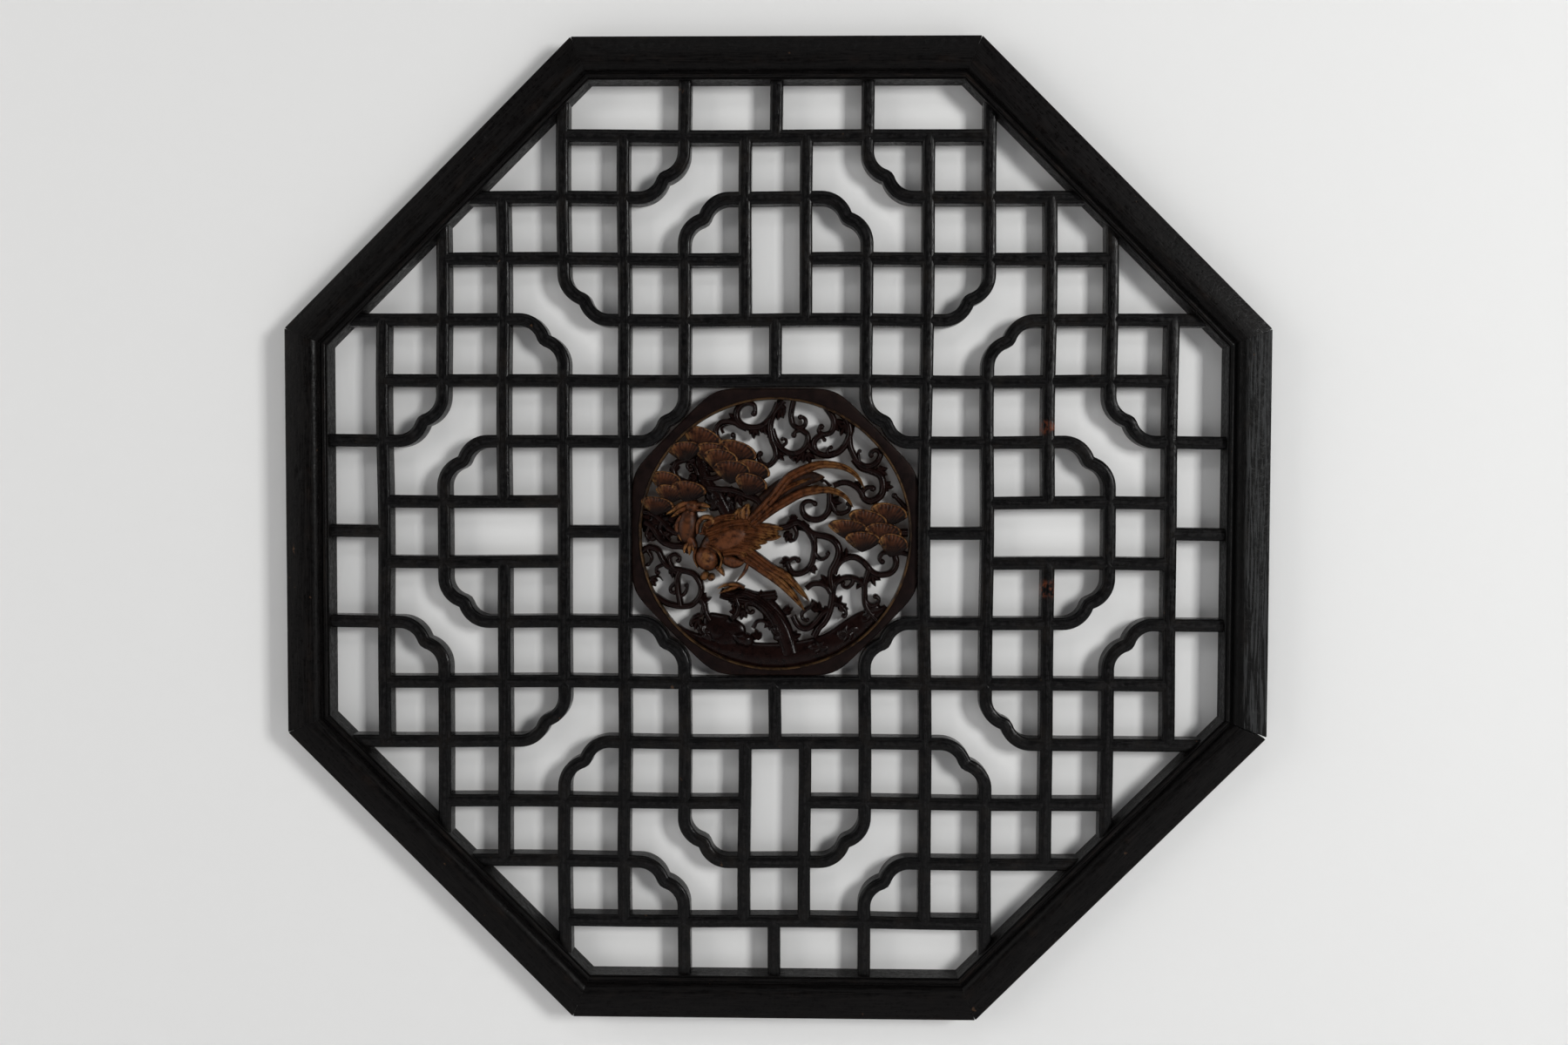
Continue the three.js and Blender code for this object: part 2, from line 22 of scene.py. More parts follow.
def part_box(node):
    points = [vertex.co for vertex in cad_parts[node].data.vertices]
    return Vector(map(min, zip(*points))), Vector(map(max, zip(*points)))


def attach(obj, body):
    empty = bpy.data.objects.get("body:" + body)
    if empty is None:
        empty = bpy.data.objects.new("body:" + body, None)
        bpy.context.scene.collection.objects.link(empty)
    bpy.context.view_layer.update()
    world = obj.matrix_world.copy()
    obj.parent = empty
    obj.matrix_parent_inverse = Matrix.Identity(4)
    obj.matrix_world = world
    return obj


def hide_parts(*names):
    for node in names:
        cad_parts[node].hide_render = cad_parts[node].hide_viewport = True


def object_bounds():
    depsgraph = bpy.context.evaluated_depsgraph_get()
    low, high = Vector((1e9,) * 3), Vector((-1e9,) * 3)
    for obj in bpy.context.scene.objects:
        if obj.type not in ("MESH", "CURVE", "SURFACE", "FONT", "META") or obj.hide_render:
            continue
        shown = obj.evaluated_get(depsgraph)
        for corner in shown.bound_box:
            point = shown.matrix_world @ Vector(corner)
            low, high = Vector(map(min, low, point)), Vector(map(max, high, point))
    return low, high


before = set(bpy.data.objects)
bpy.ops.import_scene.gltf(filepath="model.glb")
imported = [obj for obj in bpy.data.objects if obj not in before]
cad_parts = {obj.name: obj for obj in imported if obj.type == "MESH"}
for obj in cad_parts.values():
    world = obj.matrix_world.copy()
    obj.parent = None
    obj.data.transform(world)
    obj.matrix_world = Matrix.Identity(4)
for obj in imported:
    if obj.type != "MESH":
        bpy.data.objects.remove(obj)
cad_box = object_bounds()
print("panel:", len(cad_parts), "solids, box")
for corner in cad_box:
    print("   ", [round(v, 3) for v in corner])

# %% [markdown]
# ## Reading the sizes
#
# The main sizes below are measured on the solids, so that the fine pieces follow them if the panel
# is ever made with another pitch or a wider frame; a few small sizes of the roundel are given.
# Lengths are in metres. `MM` turns millimetres into metres, because a maker thinks of such small
# things in millimetres.

# %% Sizes of the lattice and the frame
MM = 0.001
CELLS = 13


def low_corner(node):
    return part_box(node)[0]


def high_corner(node):
    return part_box(node)[1]


def middle_of(node):
    return (low_corner(node) + high_corner(node)) / 2


PITCH = (middle_of("long_bar_right").x - middle_of("long_bar_left").x) / 5
BAR_WIDTH = high_corner("long_bar_left").x - low_corner("long_bar_left").x
BAR_BACK = -high_corner("long_bar_left").y
BAR_FRONT = -low_corner("long_bar_left").y
PANEL_MIDDLE = middle_of("long_bar_left").z
OUTER_WALL = high_corner("frame_top").z - PANEL_MIDDLE
FRAME_WIDTH = high_corner("frame_top").z - low_corner("frame_top").z
INNER_WALL = OUTER_WALL - FRAME_WIDTH
FRAME_FRONT = -low_corner("frame_top").y
print(f"pitch {PITCH / MM:.1f}, bar {BAR_WIDTH / MM:.1f} mm wide")
print(f"frame {FRAME_WIDTH / MM:.1f} x {FRAME_FRONT / MM:.1f} mm")

# %% Sizes of the roundel
RIM_WIDTH = 7.5 * MM
RING_DROP = 1.5 * MM
RING_WIDTH = 2.0 * MM
PLANK_REACH = high_corner("roundel").x
PLANK_BACK = -high_corner("roundel").y
BIRD_FRONT = -low_corner("roundel").y
PLANK_FRONT = PLANK_BACK + 12 * MM
RING_RADIUS = PLANK_REACH - RIM_WIDTH
CARVING_BACK = PLANK_BACK + 1.5 * MM
print(f"roundel: board {2 * PLANK_REACH / MM:.1f} mm across, bead ring {2 * RING_RADIUS / MM:.1f} mm")

# %% [markdown]
# ## Finishing a piece
#
# Every fine piece ends the same way. Its faces are turned outwards, it is shaded smooth except
# over real edges, it gets its wood, and the solid it stands for is hidden. One function does
# that, so no piece can miss a step.

# %% Finish a mesh and hand it to the panel
SHARP_ANGLE = math.radians(42)
FRAME_SHARP = math.radians(38)
CARVING_SHARP = math.radians(50)
FAN_SHARP = math.radians(60)


def outward(mesh):
    """Weld the points that fall together and turn all the faces outwards."""
    shape = bmesh.new()
    shape.from_mesh(mesh)
    bmesh.ops.remove_doubles(shape, verts=shape.verts, dist=0.01 * MM)
    bmesh.ops.recalc_face_normals(shape, faces=shape.faces)
    shape.to_mesh(mesh)
    shape.free()


def finish_piece(name, mesh, wood, node, sharp=SHARP_ANGLE):
    outward(mesh)
    mesh.shade_smooth()
    mesh.set_sharp_from_angle(angle=sharp)
    mesh.materials.clear()
    mesh.materials.append(wood)
    piece = bpy.data.objects.new(name, mesh)
    bpy.context.scene.collection.objects.link(piece)
    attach(piece, "root")
    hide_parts(node)
    return piece


# %% [markdown]
# ## Wood in layers
#
# The panel is ebonised: stained and varnished nearly black, with the wood's own grain just
# showing. The same few effects turn up in every finish, so each is a node group with named
# sockets: grain that runs along a piece, rubbing that wears the proud places, small chips, and
# the thin dark line of a joint, and the thin stain of the back, which was never varnished. Each
# material then mixes them with its own values.
#
# Grain must follow the piece and not the room. Every piece therefore carries its own
# coordinates as attributes: `along` it in metres, `w` across from -1 to 1, and `v` from back to
# front.

# %% Small helpers for node trees
def add_node(tree, kind, inputs=None, **settings):
    node = tree.nodes.new(kind)
    for key, value in settings.items():
        setattr(node, key, value)
    for key, value in (inputs or {}).items():
        if isinstance(value, bpy.types.NodeSocket):
            tree.links.new(value, node.inputs[key])
        else:
            node.inputs[key].default_value = value
    return node


def maths(tree, operation, *values, clamp=False):
    node = add_node(tree, "ShaderNodeMath", dict(enumerate(values)), operation=operation, use_clamp=clamp)
    return node.outputs[0]


def vector_maths(tree, operation, *values):
    node = add_node(tree, "ShaderNodeVectorMath", dict(enumerate(values)), operation=operation)
    return node.outputs[0]


def own_value(tree, attribute):
    """What the piece itself says at this point, such as how far along it lies."""
    return add_node(tree, "ShaderNodeAttribute", attribute_name=attribute).outputs["Fac"]


def ramp(tree, value, low, high):
    """0 below low, 1 above high, smooth between."""
    settings = {"Value": value, "From Min": low, "From Max": high}
    return add_node(tree, "ShaderNodeMapRange", settings, interpolation_type="SMOOTHSTEP").outputs["Result"]


def blend_colour(tree, factor, first, second, blend_type="MIX"):
    node = add_node(tree, "ShaderNodeMix", data_type="RGBA", blend_type=blend_type)
    for socket, value in zip((node.inputs[0], node.inputs[6], node.inputs[7]), (factor, first, second)):
        if isinstance(value, bpy.types.NodeSocket):
            tree.links.new(value, socket)
        else:
            socket.default_value = value
    return node.outputs[2]


def new_group(name, kind, inputs, outputs):
    """A node group with typed sockets: inputs maps a name to (type, default)."""
    group = bpy.data.node_groups.new(name, kind)
    for label, (socket_type, default) in inputs.items():
        socket = group.interface.new_socket(label, in_out="INPUT", socket_type=socket_type)
        if default is not None:
            socket.default_value = default
    for label, socket_type in outputs.items():
        group.interface.new_socket(label, in_out="OUTPUT", socket_type=socket_type)
    return group, group.nodes.new("NodeGroupInput"), group.nodes.new("NodeGroupOutput")


FLOAT = "NodeSocketFloat"
VECTOR = "NodeSocketVector"

# %% Where a point lies in its own piece
piece_place, place_in, place_out = new_group(
    "place in the piece", "ShaderNodeTree", {"Half Width": (FLOAT, BAR_WIDTH / 2)}, {"Vector": VECTOR})
along_value = own_value(piece_place, "along")
across_value = own_value(piece_place, "w")
rise_value = own_value(piece_place, "v")
across_metres = maths(piece_place, "MULTIPLY", across_value, place_in.outputs["Half Width"])
rise_metres = maths(piece_place, "MULTIPLY", rise_value, BAR_FRONT - BAR_BACK)
joined_place = add_node(
    piece_place, "ShaderNodeCombineXYZ", {"X": along_value, "Y": across_metres, "Z": rise_metres})
piece_place.links.new(joined_place.outputs[0], place_out.inputs["Vector"])

# %% Grain: long streaks, fine pores and a height for the bump
GRAIN_STRETCH = 26
grain_group, grain_in, grain_out = new_group(
    "wood grain", "ShaderNodeTree",
    {"Vector": (VECTOR, None), "Fineness": (FLOAT, 900.0), "Contrast": (FLOAT, 0.5)},
    {"Streaks": FLOAT, "Pores": FLOAT, "Height": FLOAT})
stretched = vector_maths(grain_group, "MULTIPLY", grain_in.outputs["Vector"], (1 / GRAIN_STRETCH, 1, 1))
streak_noise = add_node(grain_group, "ShaderNodeTexNoise", {
    "Vector": stretched, "Scale": grain_in.outputs["Fineness"], "Detail": 4.0, "Roughness": 0.62})
pore_scale = maths(grain_group, "MULTIPLY", grain_in.outputs["Fineness"], 2.7)
pore_noise = add_node(grain_group, "ShaderNodeTexNoise", {
    "Vector": stretched, "Scale": pore_scale, "Detail": 2.0, "Roughness": 0.5})
half_contrast = maths(grain_group, "MULTIPLY", grain_in.outputs["Contrast"], 0.5)
streak_low = maths(grain_group, "SUBTRACT", 0.62, half_contrast)
streak_high = maths(grain_group, "ADD", 0.42, half_contrast)
streaks = ramp(grain_group, streak_noise.outputs["Fac"], streak_low, streak_high)
pores = ramp(grain_group, pore_noise.outputs["Fac"], 0.60, 0.72)
grain_height = maths(grain_group, "SUBTRACT", streak_noise.outputs["Fac"],
                     maths(grain_group, "MULTIPLY", pores, 0.5))
grain_group.links.new(streaks, grain_out.inputs["Streaks"])
grain_group.links.new(pores, grain_out.inputs["Pores"])
grain_group.links.new(grain_height, grain_out.inputs["Height"])

# %% Rubbing: proud edges lose their black first, in patches
rub_group, rub_in, rub_out = new_group(
    "rubbed edges", "ShaderNodeTree",
    {"Amount": (FLOAT, 0.5), "Patch Size": (FLOAT, 60.0)}, {"Mask": FLOAT})
edge_value = own_value(rub_group, "edge")
object_place = add_node(rub_group, "ShaderNodeTexCoord").outputs["Object"]
patches = add_node(rub_group, "ShaderNodeTexNoise", {
    "Vector": object_place, "Scale": rub_in.outputs["Patch Size"], "Detail": 5.0, "Roughness": 0.7})
patch_mask = ramp(rub_group, patches.outputs["Fac"], 0.47, 0.72)
edge_mask = maths(rub_group, "MULTIPLY", edge_value, patch_mask)
rub_mask = maths(rub_group, "MULTIPLY", edge_mask, rub_in.outputs["Amount"], clamp=True)
rub_group.links.new(rub_mask, rub_out.inputs["Mask"])

# %% Chips and knots: rare small spots
chip_group, chip_in, chip_out = new_group(
    "chips", "ShaderNodeTree", {"Scale": (FLOAT, 110.0), "Rarity": (FLOAT, 0.72)}, {"Mask": FLOAT})
chip_place = add_node(chip_group, "ShaderNodeTexCoord").outputs["Object"]
chip_noise = add_node(chip_group, "ShaderNodeTexNoise", {
    "Vector": chip_place, "Scale": chip_in.outputs["Scale"], "Detail": 3.0, "Roughness": 0.55})
chip_top = maths(chip_group, "ADD", chip_in.outputs["Rarity"], 0.03)
chip_mask = ramp(chip_group, chip_noise.outputs["Fac"], chip_in.outputs["Rarity"], chip_top)
chip_group.links.new(chip_mask, chip_out.inputs["Mask"])

# %% Joint lines: where a bead is mitred into the next bar
joint_group, joint_in, joint_out = new_group(
    "joint line", "ShaderNodeTree",
    {"Half Width": (FLOAT, BAR_WIDTH / 2), "Line": (FLOAT, 0.35 * MM)}, {"Mask": FLOAT})
joint_value = own_value(joint_group, "joint")
joint_across = own_value(joint_group, "w")
joint_reach = maths(joint_group, "MULTIPLY", maths(joint_group, "ABSOLUTE", joint_across),
                    joint_in.outputs["Half Width"])
joint_gap = maths(joint_group, "ABSOLUTE", maths(joint_group, "SUBTRACT", joint_value, joint_reach))
joint_far = ramp(joint_group, joint_gap, 0.0, joint_in.outputs["Line"])
joint_group.links.new(maths(joint_group, "SUBTRACT", 1.0, joint_far), joint_out.inputs["Mask"])

# %% The back: stained thinly and never varnished
back_group, back_in, back_out = new_group(
    "thin stain on the back", "ShaderNodeTree", {"Cloud Size": (FLOAT, 30.0)}, {"Mask": FLOAT})
back_coordinates = add_node(back_group, "ShaderNodeTexCoord")
facing = add_node(back_group, "ShaderNodeSeparateXYZ", {
    "Vector": back_coordinates.outputs["Normal"]}).outputs["Y"]
clouds = add_node(back_group, "ShaderNodeTexNoise", {
    "Vector": back_coordinates.outputs["Object"], "Scale": back_in.outputs["Cloud Size"], "Detail": 5.0})
cloud_part = maths(back_group, "MULTIPLY", clouds.outputs["Fac"], 0.8)
cloud_share = maths(back_group, "ADD", 0.55, cloud_part, clamp=True)
back_mask = maths(back_group, "MULTIPLY", ramp(back_group, facing, 0.75, 0.95), cloud_share)
back_group.links.new(back_mask, back_out.inputs["Mask"])
print("shared effects:", [g.name for g in bpy.data.node_groups])

# %% [markdown]
# ## The finishes
#
# Ebonised wood is not one colour. The frame is a satin black, and the broad face of its right
# side shows pale grain: the grain is real, its paleness a painted sheen of the window's raking
# light. The lattice is painted a little greyer along its crowns, a painted highlight, with a few
# brown chips. The carving's scrolls are a glossy red-black, and its birds and pine boughs are
# orange brown with worn gilding on tips and rims. The back of every piece is a matt brown,
# because nobody varnishes what hangs on a wall.

# %% A wood from its colours
def use_group(tree, group, **inputs):
    node = tree.nodes.new("ShaderNodeGroup")
    node.node_tree = group
    for key, value in inputs.items():
        label = key.replace("_", " ").title()
        if isinstance(value, bpy.types.NodeSocket):
            tree.links.new(value, node.inputs[label])
        else:
            node.inputs[label].default_value = value
    return node


def new_wood(name):
    wood = bpy.data.materials.new(name)
    wood.use_nodes = True
    shader = wood.node_tree.nodes["Principled BSDF"]
    return wood, wood.node_tree, shader


def rgb(red, green, blue):
    return (red, green, blue, 1.0)


CREST_PLACE = (FRAME_FRONT + 18 * MM) / (BAR_WIDTH / 2)
BACK_COLOUR = rgb(0.050, 0.032, 0.022)


def leave_back_plain(tree, colour, rough):
    """The back keeps its thin matt stain."""
    behind = use_group(tree, back_group, cloud_size=30.0).outputs["Mask"]
    matt = maths(tree, "ADD", rough, maths(tree, "MULTIPLY", behind, 0.4), clamp=True)
    return blend_colour(tree, behind, colour, BACK_COLOUR), matt


def ebonised(name, dark, streak, worn, grain_amount, fineness, rub, gloss, joints=False, bump=0.25,
             shine=0.075, grain_in_painted_raking_light=False):
    wood, tree, shader = new_wood(name)
    place = use_group(tree, piece_place).outputs["Vector"]
    grain = use_group(tree, grain_group, vector=place, fineness=fineness, contrast=0.25)
    streak_share = maths(tree, "MULTIPLY", grain.outputs["Streaks"], grain_amount)
    # Painted raking light: on this member the grain is painted pale on the broad face up to the crest, where
    # the window's light falls across it.
    if grain_in_painted_raking_light:
        girth_place = own_value(tree, "w")
        past_crest = ramp(tree, girth_place, CREST_PLACE - 0.4, CREST_PLACE + 0.4)
        streak_share = maths(tree, "MULTIPLY", streak_share, maths(tree, "SUBTRACT", 1.0, past_crest))
    colour = blend_colour(tree, streak_share, dark, streak)
    rubbed = use_group(tree, rub_group, amount=rub, patch_size=38.0).outputs["Mask"]
    colour = blend_colour(tree, rubbed, colour, worn)
    chip = use_group(tree, chip_group, scale=95.0, rarity=0.735).outputs["Mask"]
    colour = blend_colour(tree, maths(tree, "MULTIPLY", chip, 0.4), colour, rgb(0.10, 0.055, 0.03))
    height = maths(tree, "SUBTRACT", grain.outputs["Height"], maths(tree, "MULTIPLY", chip, 0.8))
    here = add_node(tree, "ShaderNodeTexCoord").outputs["Object"]
    dapple = add_node(tree, "ShaderNodeTexNoise", {
        "Vector": here, "Scale": 260.0, "Detail": 4.0, "Roughness": 0.6}).outputs["Fac"]
    height = maths(tree, "ADD", height, maths(tree, "MULTIPLY", dapple, 2.2))
    rough = maths(tree, "ADD", gloss - 0.1, maths(tree, "MULTIPLY", grain.outputs["Streaks"], 0.14))
    rough = maths(tree, "ADD", rough, maths(tree, "MULTIPLY", ramp(tree, dapple, 0.35, 0.65), 0.2))
    bare = own_value(tree, "gilt")
    bare = maths(tree, "MULTIPLY", bare, ramp(tree, dapple, 0.44, 0.60))
    colour = blend_colour(tree, bare, colour, rgb(0.10, 0.026, 0.010))
    if joints:
        # Painted highlight: the crown of each bead is painted a little greyer, in patches, for the light it
        # would catch.
        off_crown = maths(tree, "ABSOLUTE", own_value(tree, "w"))
        on_front = ramp(tree, own_value(tree, "v"), 0.85, 0.98)
        near_crown = maths(tree, "SUBTRACT", 1.0, ramp(tree, off_crown, 0.06, 0.30))
        crown = maths(tree, "MULTIPLY", near_crown, on_front)
        crown = maths(tree, "MULTIPLY", crown, ramp(tree, dapple, 0.40, 0.62))
        colour = blend_colour(tree, crown, colour, rgb(0.010, 0.0094, 0.0096))
        seam = use_group(tree, joint_group).outputs["Mask"]
        colour = blend_colour(tree, seam, colour, rgb(0.004, 0.003, 0.003))
        height = maths(tree, "SUBTRACT", height, maths(tree, "MULTIPLY", seam, 1.5))
        rough = maths(tree, "ADD", rough, maths(tree, "MULTIPLY", seam, 0.3), clamp=True)
    colour, rough = leave_back_plain(tree, colour, rough)
    bumped = add_node(tree, "ShaderNodeBump", {"Strength": bump, "Distance": 0.4 * MM, "Height": height})
    tree.links.new(colour, shader.inputs["Base Color"])
    tree.links.new(rough, shader.inputs["Roughness"])
    tree.links.new(bumped.outputs["Normal"], shader.inputs["Normal"])
    shader.inputs["Specular IOR Level"].default_value = shine
    return wood


frame_wood = ebonised(
    "ebonised frame", rgb(0.0026, 0.0023, 0.0023), rgb(0.006, 0.0052, 0.005), rgb(0.018, 0.012, 0.009),
    0.8, 1100.0, 0.55, 0.32, shine=0.067)
frame_wood_in_painted_raking_light = ebonised(
    "ebonised frame, grain in painted raking light", rgb(0.0022, 0.0021, 0.0021), rgb(0.036, 0.037, 0.038),
    rgb(0.02, 0.017, 0.015), 0.7, 620.0, 0.5, 0.44, bump=0.5, grain_in_painted_raking_light=True)
lattice_wood = ebonised(
    "ebonised lattice", rgb(0.0027, 0.0026, 0.0027), rgb(0.0065, 0.0062, 0.0064), rgb(0.02, 0.016, 0.013),
    0.7, 1400.0, 0.4, 0.19, joints=True, shine=0.095)

# %% The carving's woods
BARB_SPACING = 1.5 * MM


def carved(name, deep, proud, gilt, gloss, grain_scale, gilt_amount, bump=0.3, hollow=0.25, shine=0.10,
           barbs=0.0, clear_from=0.27):
    """Wood with painted shade in its hollows and lighter proud places, partly wear and partly painted light,
    gilt where `gilt` says.
    """
    wood, tree, shader = new_wood(name)
    here = add_node(tree, "ShaderNodeTexCoord").outputs["Object"]
    mottle = add_node(tree, "ShaderNodeTexNoise", {
        "Vector": here, "Scale": grain_scale, "Detail": 5.0, "Roughness": 0.65}).outputs["Fac"]
    # The colour runs from deep to proud with the height `v`, so painted shade lies low, in grooves and
    # between feathers, and painted light lies on the tops.
    rise = own_value(tree, "v")
    height_share = ramp(tree, rise, hollow, 1.0)
    light = maths(tree, "MULTIPLY", height_share, ramp(tree, mottle, clear_from, clear_from + 0.34))
    colour = blend_colour(tree, light, deep, proud)
    gilt_value = own_value(tree, "gilt")
    gilt_patch = ramp(tree, mottle, 0.40, 0.60)
    gilt_mask = maths(tree, "MULTIPLY", maths(tree, "MULTIPLY", gilt_value, gilt_patch), gilt_amount,
                      clamp=True)
    colour = blend_colour(tree, gilt_mask, colour, gilt)
    rough = maths(tree, "ADD", gloss, maths(tree, "MULTIPLY", mottle, 0.2))
    colour, rough = leave_back_plain(tree, colour, rough)
    fine = add_node(tree, "ShaderNodeTexNoise", {
        "Vector": here, "Scale": 7 * grain_scale, "Detail": 3.0}).outputs["Fac"]
    height = maths(tree, "ADD", mottle, maths(tree, "MULTIPLY", fine, 0.35))
    if barbs:
        along = own_value(tree, "along")
        across = own_value(tree, "w")
        slant = maths(tree, "MULTIPLY", maths(tree, "ABSOLUTE", across), 2.6)
        phase = maths(tree, "SUBTRACT", maths(tree, "MULTIPLY", along, 2 * math.pi / BARB_SPACING), slant)
        lines = maths(tree, "MULTIPLY", maths(tree, "SINE", phase), barbs)
        height = maths(tree, "ADD", height, lines)
    bumped = add_node(tree, "ShaderNodeBump", {"Strength": bump, "Distance": 0.5 * MM, "Height": height})
    tree.links.new(colour, shader.inputs["Base Color"])
    tree.links.new(rough, shader.inputs["Roughness"])
    tree.links.new(maths(tree, "MULTIPLY", gilt_mask, 0.6), shader.inputs["Metallic"])
    tree.links.new(bumped.outputs["Normal"], shader.inputs["Normal"])
    shader.inputs["Specular IOR Level"].default_value = shine
    return wood


vine_wood = carved(
    "glossy dark scrolls", rgb(0.0022, 0.0010, 0.0009), rgb(0.0078, 0.0030, 0.0025), rgb(0.05, 0.03, 0.02),
    0.10, 170, 0.0, shine=0.10)
bird_wood = carved(
    "orange brown birds", rgb(0.0066, 0.0023, 0.0012), rgb(0.090, 0.030, 0.0113), rgb(0.26, 0.13, 0.042),
    0.30, 210, 0.9, hollow=0.66, barbs=0.30, clear_from=0.27)
shaded_wood = carved(
    "shaded feathers", rgb(0.005, 0.0022, 0.0015), rgb(0.022, 0.009, 0.0052), rgb(0.10, 0.05, 0.02),
    0.36, 210, 0.3, hollow=0.5, barbs=0.3)
pine_wood = carved(
    "pine boughs", rgb(0.0034, 0.0013, 0.0009), rgb(0.072, 0.0228, 0.0090), rgb(0.24, 0.12, 0.042),
    0.34, 230, 0.9, clear_from=0.26)
rim_wood = carved(
    "red brown rim", rgb(0.0028, 0.0014, 0.0013), rgb(0.0076, 0.0035, 0.0031), rgb(0.02, 0.011, 0.008),
    0.40, 120, 0.3,
    shine=0.07)
ring_gilding = carved(
    "worn gilt bead", rgb(0.005, 0.0025, 0.0013), rgb(0.02, 0.010, 0.005), rgb(0.09, 0.05, 0.02),
    0.32, 160, 0.55)
print("woods:", [m.name for m in bpy.data.materials])

# %% [markdown]
# ## One tree of nodes for everything that follows a line
#
# Bars, brackets, vines and feathers are all the same thing to a carver: a section pushed along a
# line. Geometry Nodes can do that for every one of them. The input is a mesh of bare edges, the
# middle lines. Each point of a line carries where it is (`place`), the direction and half width
# to its side (`side`), and how deep the piece is there (`low`, `high`). The tree turns the edges
# into curves, sweeps a ring of points along them, and then puts every point of the surface
# where its line and its section say. Mitred corners stay exact, which a plain sweep can't do.

# %% Build the sweeping tree
def build_sweep_tree():
    tree, given, result = new_group("swept section", "GeometryNodeTree", {
        "Geometry": ("NodeSocketGeometry", None),
        "Round Steps": ("NodeSocketInt", 12),
        "Shoulder": (FLOAT, 0.7),
        "Crown Power": (FLOAT, 1.0),
        "Groove": (FLOAT, 0.0),
        "Groove Width": (FLOAT, 0.25),
        "Wood": ("NodeSocketMaterial", None),
    }, {"Geometry": "NodeSocketGeometry"})
    steps = given.outputs["Round Steps"]
    ring_count = maths(tree, "ADD", steps, 3)
    ring = add_node(tree, "GeometryNodeCurvePrimitiveCircle", {"Resolution": ring_count, "Radius": 1.0})
    number = add_node(tree, "GeometryNodeInputIndex").outputs[0]
    step_share = maths(tree, "DIVIDE", maths(tree, "SUBTRACT", number, 2.0), steps)
    turn = maths(tree, "MULTIPLY", step_share, math.pi)
    on_round = maths(tree, "GREATER_THAN", number, 1.5)
    back_side = maths(tree, "SUBTRACT", maths(tree, "MULTIPLY", number, 2.0), 1.0)
    round_side = maths(tree, "COSINE", turn)
    shoulder = given.outputs["Shoulder"]
    arch = maths(tree, "MAXIMUM", maths(tree, "SINE", turn), 0.0)
    bulge = maths(tree, "POWER", arch, given.outputs["Crown Power"])
    crown = maths(tree, "MULTIPLY", maths(tree, "SUBTRACT", 1.0, shoulder), bulge)
    round_rise = maths(tree, "ADD", shoulder, crown)
    w = add_node(tree, "GeometryNodeSwitch", {"Switch": on_round, "False": back_side, "True": round_side},
                 input_type="FLOAT")
    v = maths(tree, "MULTIPLY", on_round, round_rise)
    with_w = add_node(tree, "GeometryNodeStoreNamedAttribute", {
        "Geometry": ring.outputs["Curve"], "Name": "w", "Value": w.outputs[0]}, data_type="FLOAT")
    with_v = add_node(tree, "GeometryNodeStoreNamedAttribute", {
        "Geometry": with_w.outputs[0], "Name": "v", "Value": v}, data_type="FLOAT")
    lines = add_node(tree, "GeometryNodeMeshToCurve", {"Mesh": given.outputs["Geometry"]})
    swept = add_node(tree, "GeometryNodeCurveToMesh", {
        "Curve": lines.outputs[0], "Profile Curve": with_v.outputs[0], "Fill Caps": True})

    def read(name, kind="FLOAT"):
        return add_node(tree, "GeometryNodeInputNamedAttribute", {"Name": name}, data_type=kind).outputs[0]

    low = read("low")
    depth = maths(tree, "SUBTRACT", read("high"), low)
    near_middle = maths(tree, "DIVIDE", maths(tree, "ABSOLUTE", read("w")), given.outputs["Groove Width"])
    dip = maths(tree, "MULTIPLY", maths(tree, "SUBTRACT", 1.0, near_middle, clamp=True),
                given.outputs["Groove"])
    rise = maths(tree, "MULTIPLY", maths(tree, "MULTIPLY", read("v"), depth),
                 maths(tree, "SUBTRACT", 1.0, dip))
    out_of_wall = maths(tree, "MULTIPLY", maths(tree, "ADD", low, rise), -1.0)
    forward = add_node(tree, "ShaderNodeCombineXYZ", {"Y": out_of_wall})
    sideways = add_node(tree, "ShaderNodeVectorMath", {0: read("side", "FLOAT_VECTOR")}, operation="SCALE")
    tree.links.new(read("w"), sideways.inputs["Scale"])
    flat = vector_maths(tree, "ADD", read("place", "FLOAT_VECTOR"), sideways.outputs[0])
    target = vector_maths(tree, "ADD", flat, forward.outputs[0])
    placed = add_node(tree, "GeometryNodeSetPosition", {"Geometry": swept.outputs[0], "Position": target})
    real = add_node(tree, "GeometryNodeRealizeInstances", {"Geometry": placed.outputs[0]})
    dressed = add_node(tree, "GeometryNodeSetMaterial", {
        "Geometry": real.outputs[0], "Material": given.outputs["Wood"]})
    tree.links.new(dressed.outputs[0], result.inputs["Geometry"])
    return tree


sweep_tree = build_sweep_tree()
print("sweeping tree:", len(sweep_tree.nodes), "nodes")

# %% [markdown]
# A stroke is one middle line with its widths and depths. The side direction at a bend is
# lengthened by the cosine of half the bend, as a joiner does when he mitres a moulding, so that
# the piece keeps its width round the corner.

# %% Strokes: lines with widths and depths
def mitred_sides(places):
    steps = np.diff(places, axis=0)
    steps /= np.linalg.norm(steps, axis=1)[:, None]
    before = np.vstack([steps[:1], steps])
    after = np.vstack([steps, steps[-1:]])
    sides = np.stack([-after[:, 1], after[:, 0]], axis=1)
    means = sides + np.stack([-before[:, 1], before[:, 0]], axis=1)
    means /= np.linalg.norm(means, axis=1)[:, None]
    return means / np.clip((means * sides).sum(axis=1), 0.5, 1)[:, None]


def stroke(places, half, low, high, **marks):
    """One line of points (x, z) in metres from the panel's middle; marks are values to carry along."""
    places = np.asarray(places, float)
    count = len(places)
    lengths = np.concatenate([[0], np.cumsum(np.linalg.norm(np.diff(places, axis=0), axis=1))])
    full = {"half": half, "low": low, "high": high, "along": lengths, "joint": 1.0, "gilt": 0.0, "edge": 0.0}
    full.update(marks)
    values = {key: np.broadcast_to(np.asarray(value, float), count).copy() for key, value in full.items()}
    return {"places": places, "values": values}


